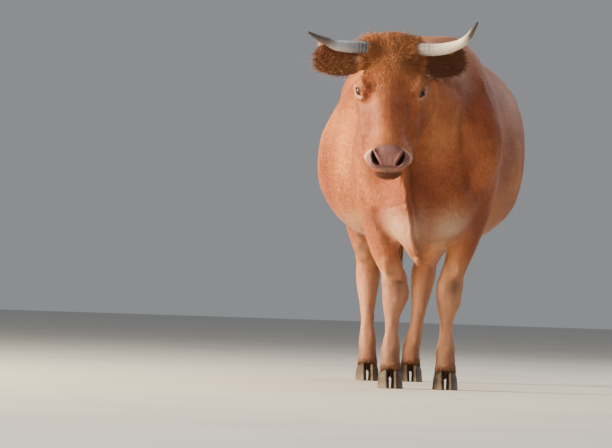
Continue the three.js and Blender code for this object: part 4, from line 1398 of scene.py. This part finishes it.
def on_map(roots):
    """The place of each root on the skin's map."""
    found = [CHART_SHAPE.find_nearest(Vector(root)) for root in roots]
    face = np.array([hit[2] for hit in found])
    spot = np.array([hit[0] for hit in found])
    a, b, c = CHART_SPOTS[face].transpose(1, 0, 2)
    v0, v1, v2 = b - a, c - a, spot - a
    d00, d01, d11 = (v0 * v0).sum(1), (v0 * v1).sum(1), (v1 * v1).sum(1)
    d20, d21 = (v2 * v0).sum(1), (v2 * v1).sum(1)
    base = np.maximum(d00 * d11 - d01 * d01, 1e-18)
    v = np.clip((d11 * d20 - d01 * d21) / base, 0, 1)
    w = np.clip((d00 * d21 - d01 * d20) / base, 0, 1)
    u = np.clip(1 - v - w, 0, 1)
    total = (u + v + w)[:, None]
    return (CHART_UVS[face] * np.stack([u, v, w], axis=1)[:, :, None]).sum(1) / total


print("map of the skin:", len(CHART_SPOTS), "faces")

# %% [markdown]
# Roots are strewn over the skin's faces, more where the coat is denser. Each gets the direction
# that the hair lies in there: back along the trunk, down the legs, and on the head away from the
# whorl on the brow.

# %% Roots and the lie of the coat
rng = np.random.default_rng(7)


def face_table(piece):
    """The corners, sizes and middles of all faces, cut into triangles."""
    piece.data.calc_loop_triangles()
    corners = np.empty(len(piece.data.loop_triangles) * 3, dtype=int)
    piece.data.loop_triangles.foreach_get("vertices", corners)
    spots = places(piece)[corners.reshape(-1, 3)]
    cross = np.cross(spots[:, 1] - spots[:, 0], spots[:, 2] - spots[:, 0])
    return corners.reshape(-1, 3), spots, np.linalg.norm(cross, axis=1) / 2


TRIANGLES, SPOTS, SIZES = face_table(skin)
NORMALS = facing(skin)
LEAST = 1e-12  # keeps every face's share above nothing


def strew(count, weight):
    """Roots on the skin with their normals; weight says how dense they are at each place."""
    share = SIZES * (weight(SPOTS.mean(1)) + LEAST)
    chosen = rng.choice(len(share), size=count, p=share / share.sum())
    mix = np.sqrt(rng.random(count))[:, None]
    other = rng.random(count)[:, None]
    parts = np.concatenate([1 - mix, mix * (1 - other), mix * other], axis=1)[:, :, None]
    normals = (NORMALS[TRIANGLES[chosen]] * parts).sum(1)
    return (SPOTS[chosen] * parts).sum(1), normals / np.linalg.norm(normals, axis=1)[:, None]


WHORL = np.array(HEAD @ Vector((0, -0.070, 0.002)))  # where the brow's hair parts


def unit(vectors):
    """The same directions with length 1."""
    return vectors / np.maximum(np.linalg.norm(vectors, axis=1), 1e-9)[:, None]


def lie(points, normals):
    """The direction in which the hair lies at each place, along the skin."""
    head, ear = near_head(points)[:, None], ear_weight(points)[:, None]
    leg = np.maximum(near_leg(points), near_tail(points))[:, None]
    back, down = np.array((0.0, 1.0, -0.42)), np.array((0.0, 0.12, -1.0))
    away = unit(points - WHORL) + np.array((0, 0.0, -0.25))
    outward = np.sign(in_head(points)[:, :1]) * np.array((1.0, 0.1, -0.15))
    course = (back * (1 - leg) + down * leg) * (1 - head)
    course = course + away * head * (1 - ear) + outward * ear * head
    wave = np.sin(points[:, :1] * 21 + points[:, 2:] * 17) * 0.16
    course = course + np.cross(normals, course) * wave
    return unit(course - normals * (course * normals).sum(1)[:, None])


print("skin area:", round(SIZES.sum(), 2), "square metres")

# %% [markdown]
# A tuft is a blade of three edges. It rises a little out of the skin, bends over, may curl, and
# narrows to its tip. Every tuft takes the markings and a place on the map from its own root. The
# shortest ones have a single ring and borrow the skin's roundness, so that the coat shades softly.

# %% One function for every tuft
def blade_faces(rings):
    """The faces of one blade, wound outwards."""
    faces = [(0, 2, 1)]
    for a in range(0, (rings - 1) * 3, 3):
        for k in range(3):
            m = (k + 1) % 3
            faces += [(a + k, a + m, a + 3 + m), (a + k, a + 3 + m, a + 3 + k)]
    last, tip = (rings - 1) * 3, rings * 3
    faces += [(last + k, last + (k + 1) % 3, tip) for k in range(3)]
    return np.array(faces)[:, ::-1]


def blade_mesh(name, points, faces):
    """Many blades with the same faces as one piece, and the vertex at each face corner."""
    count, per, _ = points.shape
    index = (faces[None] + (np.arange(count) * per)[:, None, None]).reshape(-1)
    mesh = bpy.data.meshes.new(name)
    mesh.vertices.add(count * per)
    mesh.vertices.foreach_set("co", points.astype(np.float32).ravel())
    mesh.loops.add(len(index))
    mesh.loops.foreach_set("vertex_index", index.astype(np.int32))
    mesh.polygons.add(len(index) // 3)
    mesh.polygons.foreach_set("loop_start", np.arange(0, len(index), 3, dtype=np.int32))
    mesh.update(calc_edges=True)
    return linked(name, mesh), index


PATCH = 0.003  # how wide one tuft is on the map


def tufts(name, roots, normals, course, length, width, lift, rings=2, bend=0.0, curl=0.0,
          droop=0.0, sink=0.0015, spread=0.30, tint=(0.0, 1.0), change=None):
    """Blades of hair as one piece. The shape's numbers may vary from root to root."""
    count, per = len(roots), rings * 3 + 1

    def full(value):
        return np.broadcast_to(np.asarray(value, dtype=float), (count,)).reshape(-1, 1)

    turn = rng.normal(0, 1, (count, 1)) * full(spread)
    across = np.cross(course, normals)
    course = unit(course * np.cos(turn) + across * np.sin(turn))
    across = np.cross(course, normals)
    rise = full(lift) * rng.uniform(0.6, 1.4, (count, 1))
    length = full(length) * rng.uniform(0.75, 1.25, (count, 1))
    width = full(width) * rng.uniform(0.75, 1.25, (count, 1))
    phase = rng.uniform(0, 2 * math.pi, (count, 1))
    twist = rng.choice((-1.0, 1.0), (count, 1))
    start = roots - normals * sink
    points = np.empty((count, per, 3))
    for i, t in enumerate(np.linspace(0, 1, rings + 1)):
        path = course * (t * np.cos(rise)) + normals * (t * np.sin(rise) + full(bend) * t * t)
        path = path - np.array((0, 0, 1.0)) * (full(droop) * t * t)
        sway = across * np.sin(phase + 6.0 * t * twist) + normals * np.cos(phase + 6.0 * t)
        middle = start + length * (path + full(curl) * t * sway)
        if i == rings:
            points[:, -1] = middle
            continue
        wide = width * (0.62 + 0.38 * math.sin(math.pi * min(t * 1.6, 1.0))) * (1 - 0.35 * t)
        points[:, i * 3] = middle - across * wide * 0.5
        points[:, i * 3 + 1] = middle + across * wide * 0.5
        points[:, i * 3 + 2] = middle + normals * wide * 0.32

    piece, index = blade_mesh(name, points, blade_faces(rings))
    corner_x = [-0.5, 0.5, 0.0] * rings + [-0.5]
    patch_shape = np.array([(corner_x[k], (k // 3) / rings) for k in range(per)])
    uv = on_map(roots)[:, None] + PATCH * patch_shape[None]
    layer = piece.data.uv_layers.new(name="OFBake")
    layer.data.foreach_set("uv", uv.reshape(-1, 2)[index].astype(np.float32).ravel())
    marks = marks_and_shade(roots, normals)
    marks[:, 2:] = 0
    if change is not None:
        marks = change(marks)
    shade = rng.uniform(*tint, (count, 1))
    shades = np.hstack([shade, shade, shade, np.ones((count, 1))])
    for kept, values in (("marks", marks), ("lie", lie_weights(roots)), ("tint", shades)):
        store(piece, kept, np.repeat(values, per, axis=0))
    only(piece)
    bpy.ops.object.shade_smooth()
    if rings == 1:
        lean = 0.45 * np.array((-1.0, 1.0, 0.0, 0.0))[None, :, None] * across[:, None]
        soft = unit((normals[:, None] + lean + 0.12 * course[:, None]).reshape(-1, 3))
        piece.data.normals_split_custom_set_from_vertices(soft)
    dress(piece, hair_material)
    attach(piece, "root")
    print(name, count, "tufts,", len(index) // 3, "triangles")
    return piece


def hairy(points):
    """1 where hair grows, 0 on bare skin, in the nostrils and at the eyes."""
    local = in_frame(points, MUZZLE)
    bare = (pad_gap(local) < 0.0075) & (local[:, 2] > -0.046) & (local[:, 1] < 0.06)
    inside = (comma_gap(np.abs(local[:, 0]), local[:, 2]) < 0.002) & (local[:, 1] < 0.06)
    lips = mouth_gap(points) < 0.0035
    lids = slit_distance(points) < 0.0030
    return 1.0 - (bare | inside | lips | lids | (udder_weight(points) > 0.4))


# %% [markdown]
# The body's coat is short and lies flat, so its tufts are thin and barely lift. It is made in a few
# pieces, from the chest to the rump, because one would be too large.

# %% The body's short coat
def in_band(points, low, high):
    """1 between two distances behind the fore hooves."""
    y = points[:, 1] - ORIGIN.y
    return (y >= low) & (y < high)


def body_coat(name, low, high, side, count):
    """The short coat between two distances behind the fore hooves, on one side."""
    def weight(points):
        x = points[:, 0] - ORIGIN.x
        here = in_band(points, low, high) & ((x > 0.0) if side > 0 else (x <= 0.0))
        return here * (1 - near_head(points)) * hairy(points) * (1 + near_leg(points))

    roots, normals = strew(count, weight)
    leg = near_leg(roots)
    under = ease(-normals[:, 2], 0.45, 0.90) * (1 - leg)
    return tufts(name, roots, normals, lie(roots, normals), 0.023 - 0.009 * leg + 0.010 * under,
                 0.0028 - 0.0010 * leg, 0.12, rings=1, sink=0.0006, spread=0.16)


BANDS = [("chest", -0.60, 0.12), ("ribs", 0.12, 0.62), ("flank", 0.62, 1.02), ("rump", 1.02, 1.70)]
BODY_TUFTS = 30000
for name, low, high in BANDS:
    for which, side in (("left", 1), ("right", -1)):
        body_coat(f"coat_{name}_{which}", low, high, side, BODY_TUFTS)

# %% [markdown]
# The head's coat is finer still, and on the brow and poll it grows long enough to curl. The curls
# spread from a whorl on the brow: down between the eyes, up over the poll, and out round the horns.

# %% The head's coat
def face_weight(points):
    """Where the head's hair grows, closer together on the muzzle."""
    fine = 1 + 1.2 * (in_head(points)[:, 1] < -0.30)
    return near_head(points) * hairy(points) * fine


roots, normals = strew(46000, face_weight)
nose_part = ease(-in_head(roots)[:, 1], 0.22, 0.42)
tufts("coat_face", roots, normals, lie(roots, normals), 0.0160 - 0.0085 * nose_part,
      0.0019 - 0.0007 * nose_part, 0.12, rings=1, sink=0.0005, spread=0.20)


def brow_weight(points):
    """1 on the brow and poll, 0 on the rest of the head."""
    local = in_head(points)
    across = 1 - ease(np.abs(local[:, 0]), 0.078, 0.102)
    behind_eyes = ease(local[:, 1], -0.225, -0.110)
    return near_head(points) * across * behind_eyes * (local[:, 2] > -0.085)


roots, normals = strew(4600, brow_weight)
local = in_head(roots)
top = ease(local[:, 1], -0.16, -0.03)
at_horn = hump(local[:, 1] + 0.030, 0.040) * (local[:, 2] > -0.045)
horn_side = (ease(np.abs(local[:, 0]), 0.018, 0.048) * at_horn)[:, None]
course = lie(roots, normals)
outward = np.sign(local[:, :1]) * np.array((1.0, 0.0, 0.05))
course = unit(course * (1 - 0.85 * horn_side) + outward * 0.85 * horn_side)
whorl_gap = np.linalg.norm(roots - WHORL, axis=1)
tufts("brow_curls", roots, normals, course, 0.023 + 0.009 * top + 0.022 * horn_side[:, 0],
      0.0030 + 0.0010 * top, 0.20 + 0.16 * top, rings=5, bend=-0.12, curl=0.13,
      spread=0.42 + 1.5 * hump(whorl_gap, 0.022), tint=(0.0, 0.8))


SLEEVE_TUFTS = 850


def set_marks(pale, dark):
    """Gives every tuft of a piece the same markings."""
    return lambda marks: marks * 0 + (pale, dark, 0, 0)


def both_sides(make):
    """What a function gives for the left and the right side, joined."""
    return (np.concatenate(part) for part in zip(make(1), make(-1)))


def horn_sleeve(side):
    """Roots in rings round the base of a horn, where the hair grows out over it."""
    line, run = horn_run(side)

    def along(distance):
        return np.stack([np.interp(distance, run, line[:, k]) for k in range(3)], axis=1)

    place = rng.uniform(0.030, 0.066, SLEEVE_TUFTS)
    middle = along(place)
    ahead = unit(along(place + 0.02) - middle)
    aside = unit(np.cross(ahead, (0, 0, 1.0)))
    turn = rng.uniform(0, 2 * math.pi, (SLEEVE_TUFTS, 1))
    normals = np.cos(turn) * aside + np.sin(turn) * np.cross(ahead, aside)
    return middle + normals * 0.0255, normals, ahead


roots, normals, course = both_sides(horn_sleeve)
tufts("horn_sleeves", roots, normals, course, 0.034, 0.0036, 0.16, rings=4, bend=-0.05,
      curl=0.09, droop=0.05, spread=0.30, tint=(0.0, 0.8), change=set_marks(0.0, 0.30))

# %% [markdown]
# An ear is a leaf with a fringe round its edge and long hair inside, which keeps flies out.

# %% Ears
def ear_hair(name, count, chosen, aim, **shape):
    """Tufts on the chosen parts of both ears; aim says which way they point."""
    roots, normals = strew(count * 5, ear_weight)
    keep = np.flatnonzero(chosen(roots, normals))[:count]
    roots, normals = roots[keep], normals[keep]
    side = np.sign(in_head(roots)[:, :1])
    return tufts(name, roots, normals, unit(aim(normals, side)), **shape)


ear_hair(
    "ear_fringe", 3000, lambda roots, normals: np.abs(normals[:, 1]) < 0.62,
    lambda normals, side: normals * (1, 0.3, 1) + side * np.array((0.75, -0.10, 0)),
    length=0.026, width=0.0017, lift=0.05, rings=3, bend=0.0, curl=0.05, droop=0.10, spread=0.30,
    change=set_marks(0.70, 0.0))
ear_hair(
    "ear_inside", 1800, lambda roots, normals: normals[:, 1] < -0.45,
    lambda normals, side: side * np.array((1.0, 0, 0)) + normals * 0.35 + np.array((0, 0, -0.25)),
    length=0.028, width=0.0018, lift=0.15, rings=3, bend=0.0, curl=0.06, droop=0.18, spread=0.45,
    change=set_marks(0.05, 0.66))

# %% [markdown]
# Long hair grows in three more places: on the tail's end, where it makes the switch, over the tops
# of the hooves, and as lashes on the upper lids.

# %% Switch, hoof fringes and lashes
def tail_locks():
    """Long locks that hang round the end of the tail, over a slim core."""
    low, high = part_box("tail_switch")
    middle, tall = (low + high) / 2, high.z - low.z
    count = 1100
    down = rng.random(count) ** 1.3 * 0.66 - 0.03
    turn = rng.uniform(0, 2 * math.pi, count)
    radius = np.interp(down, [0, 0.3, 0.62], [0.016, 0.020, 0.012])
    normals = np.stack([np.cos(turn), np.sin(turn), np.zeros(count)], axis=1)
    across = [np.full(count, middle.x), np.full(count, middle.y)]
    axis = np.stack([*across, high.z - down * tall], axis=1)
    reach = np.minimum(tall * (1 - down) * 0.78, 0.26) * rng.uniform(0.75, 1.0, count)
    locks = tufts("tail_locks", axis + normals * radius[:, None], normals,
                  np.tile((0.0, 0.0, -1.0), (count, 1)), reach, 0.0052, 0.05, rings=6, curl=0.035,
                  spread=0.05, tint=(0.0, 0.7), change=set_marks(0.05, 0.30))
    line = [(middle.x, middle.y, high.z - tall * step) for step in np.linspace(-0.01, 0.80, 12)]
    radii = np.interp(np.linspace(0, 1, 12), [0, 0.4, 1], [0.017, 0.021, 0.004])
    core = tube(line, radii, 14, "tail_core")
    store(core, "marks", (0.0, 0.4, 0.0, 0.0))
    store(core, "lie", (0.0, 1.0, 0.0, 1.0))
    store(core, "tint", (0.3, 0.3, 0.3, 1.0))
    dress(core, hair_material)
    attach(core, "root")
    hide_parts("tail_switch")


tail_locks()


def pastern_weight(points):
    """1 on the band of skin just over the hooves."""
    height = points[:, 2] - ORIGIN.z
    return near_leg(points) * ((height > 0.055) & (height < 0.105))


roots, normals = strew(3400, pastern_weight)
tufts("hoof_fringe", roots, normals, lie(roots, normals), 0.022, 0.0019, 0.10, curl=0.02,
      droop=0.05, spread=0.18)


def lashes(side):
    """Roots along the upper lid, with the directions that the lashes stand out in."""
    eye = eye_frame(side)
    p = np.linspace(-0.55, 0.96, 70) * SLIT
    upper, _ = lid_edge(p)
    roots = in_world(np.stack([p, upper + 0.0012, ball_height(p, upper) + 0.0022], axis=1), eye)
    turn = np.array(eye)[:3, :3]
    outward = unit(np.stack([p * 14, 0.35 + 0 * p, 1.0 + 0 * p], axis=1)) @ turn.T
    return roots, np.tile(turn[:, 1], (len(p), 1)), unit(outward)


roots, normals, course = both_sides(lashes)
tufts("eyelashes", roots, normals, course, 0.0115, 0.0008, 0.25, rings=3, droop=0.18,
      spread=0.12, sink=0.0005, change=set_marks(0.0, 0.9))

# %% [markdown]
# ## Floor and light
# A plain pale floor shows where the hooves stand. One large warm lamp low on the cow's right side
# rounds the barrel, and two wide dim lamps and an even grey room keep the shaded side readable.

# %% Floor and light
def floor_recipe():
    """Pale plain concrete."""
    r = Recipe("studio_floor")
    dust = r.noise(r.place(), 1.4, 4, 0.6)
    colour = r.ramp(dust, (0.30, (0.52, 0.51, 0.49)), (0.70, (0.60, 0.59, 0.57)))
    r.surface(colour, r.plus(r.times(dust, 0.2), 0.55))
    return r.material


bpy.ops.mesh.primitive_plane_add(size=60)
floor = bpy.context.object
floor.name = "floor"
dress(floor, floor_recipe())


def lamp(name, place, aim, size, power, colour):
    """A square soft lamp that faces a place."""
    bpy.ops.object.light_add(type="AREA", location=place)
    light = bpy.context.object
    light.name = name
    light.data.size = size
    light.data.energy = power
    light.data.color = colour
    light.rotation_euler = (aim - Vector(place)).to_track_quat("-Z", "Y").to_euler()


lamp("warm_key", at(-7.5, -0.5, 2.7), at(0, 0.2, 0.8), 3.4, 3100, (1.0, 0.80, 0.50))
lamp("front_fill", at(-2.0, -8.0, 4.0), at(0, 0, 0.8), 5, 300, (1.0, 0.95, 0.92))
lamp("back_fill", at(5.0, 5.0, 3.5), at(0, 0.5, 0.8), 5, 200, (0.90, 0.94, 1.0))
lamp("top", at(0.5, 1.2, 6.0), at(0, 0.3, 0.8), 5, 150, (0.97, 0.98, 1.0))
world = bpy.data.worlds.new("studio")
bpy.context.scene.world = world
world.use_nodes = True
room = world.node_tree.nodes["Background"].inputs
room["Color"].default_value = (0.85, 0.88, 0.92, 1)
room["Strength"].default_value = 0.32
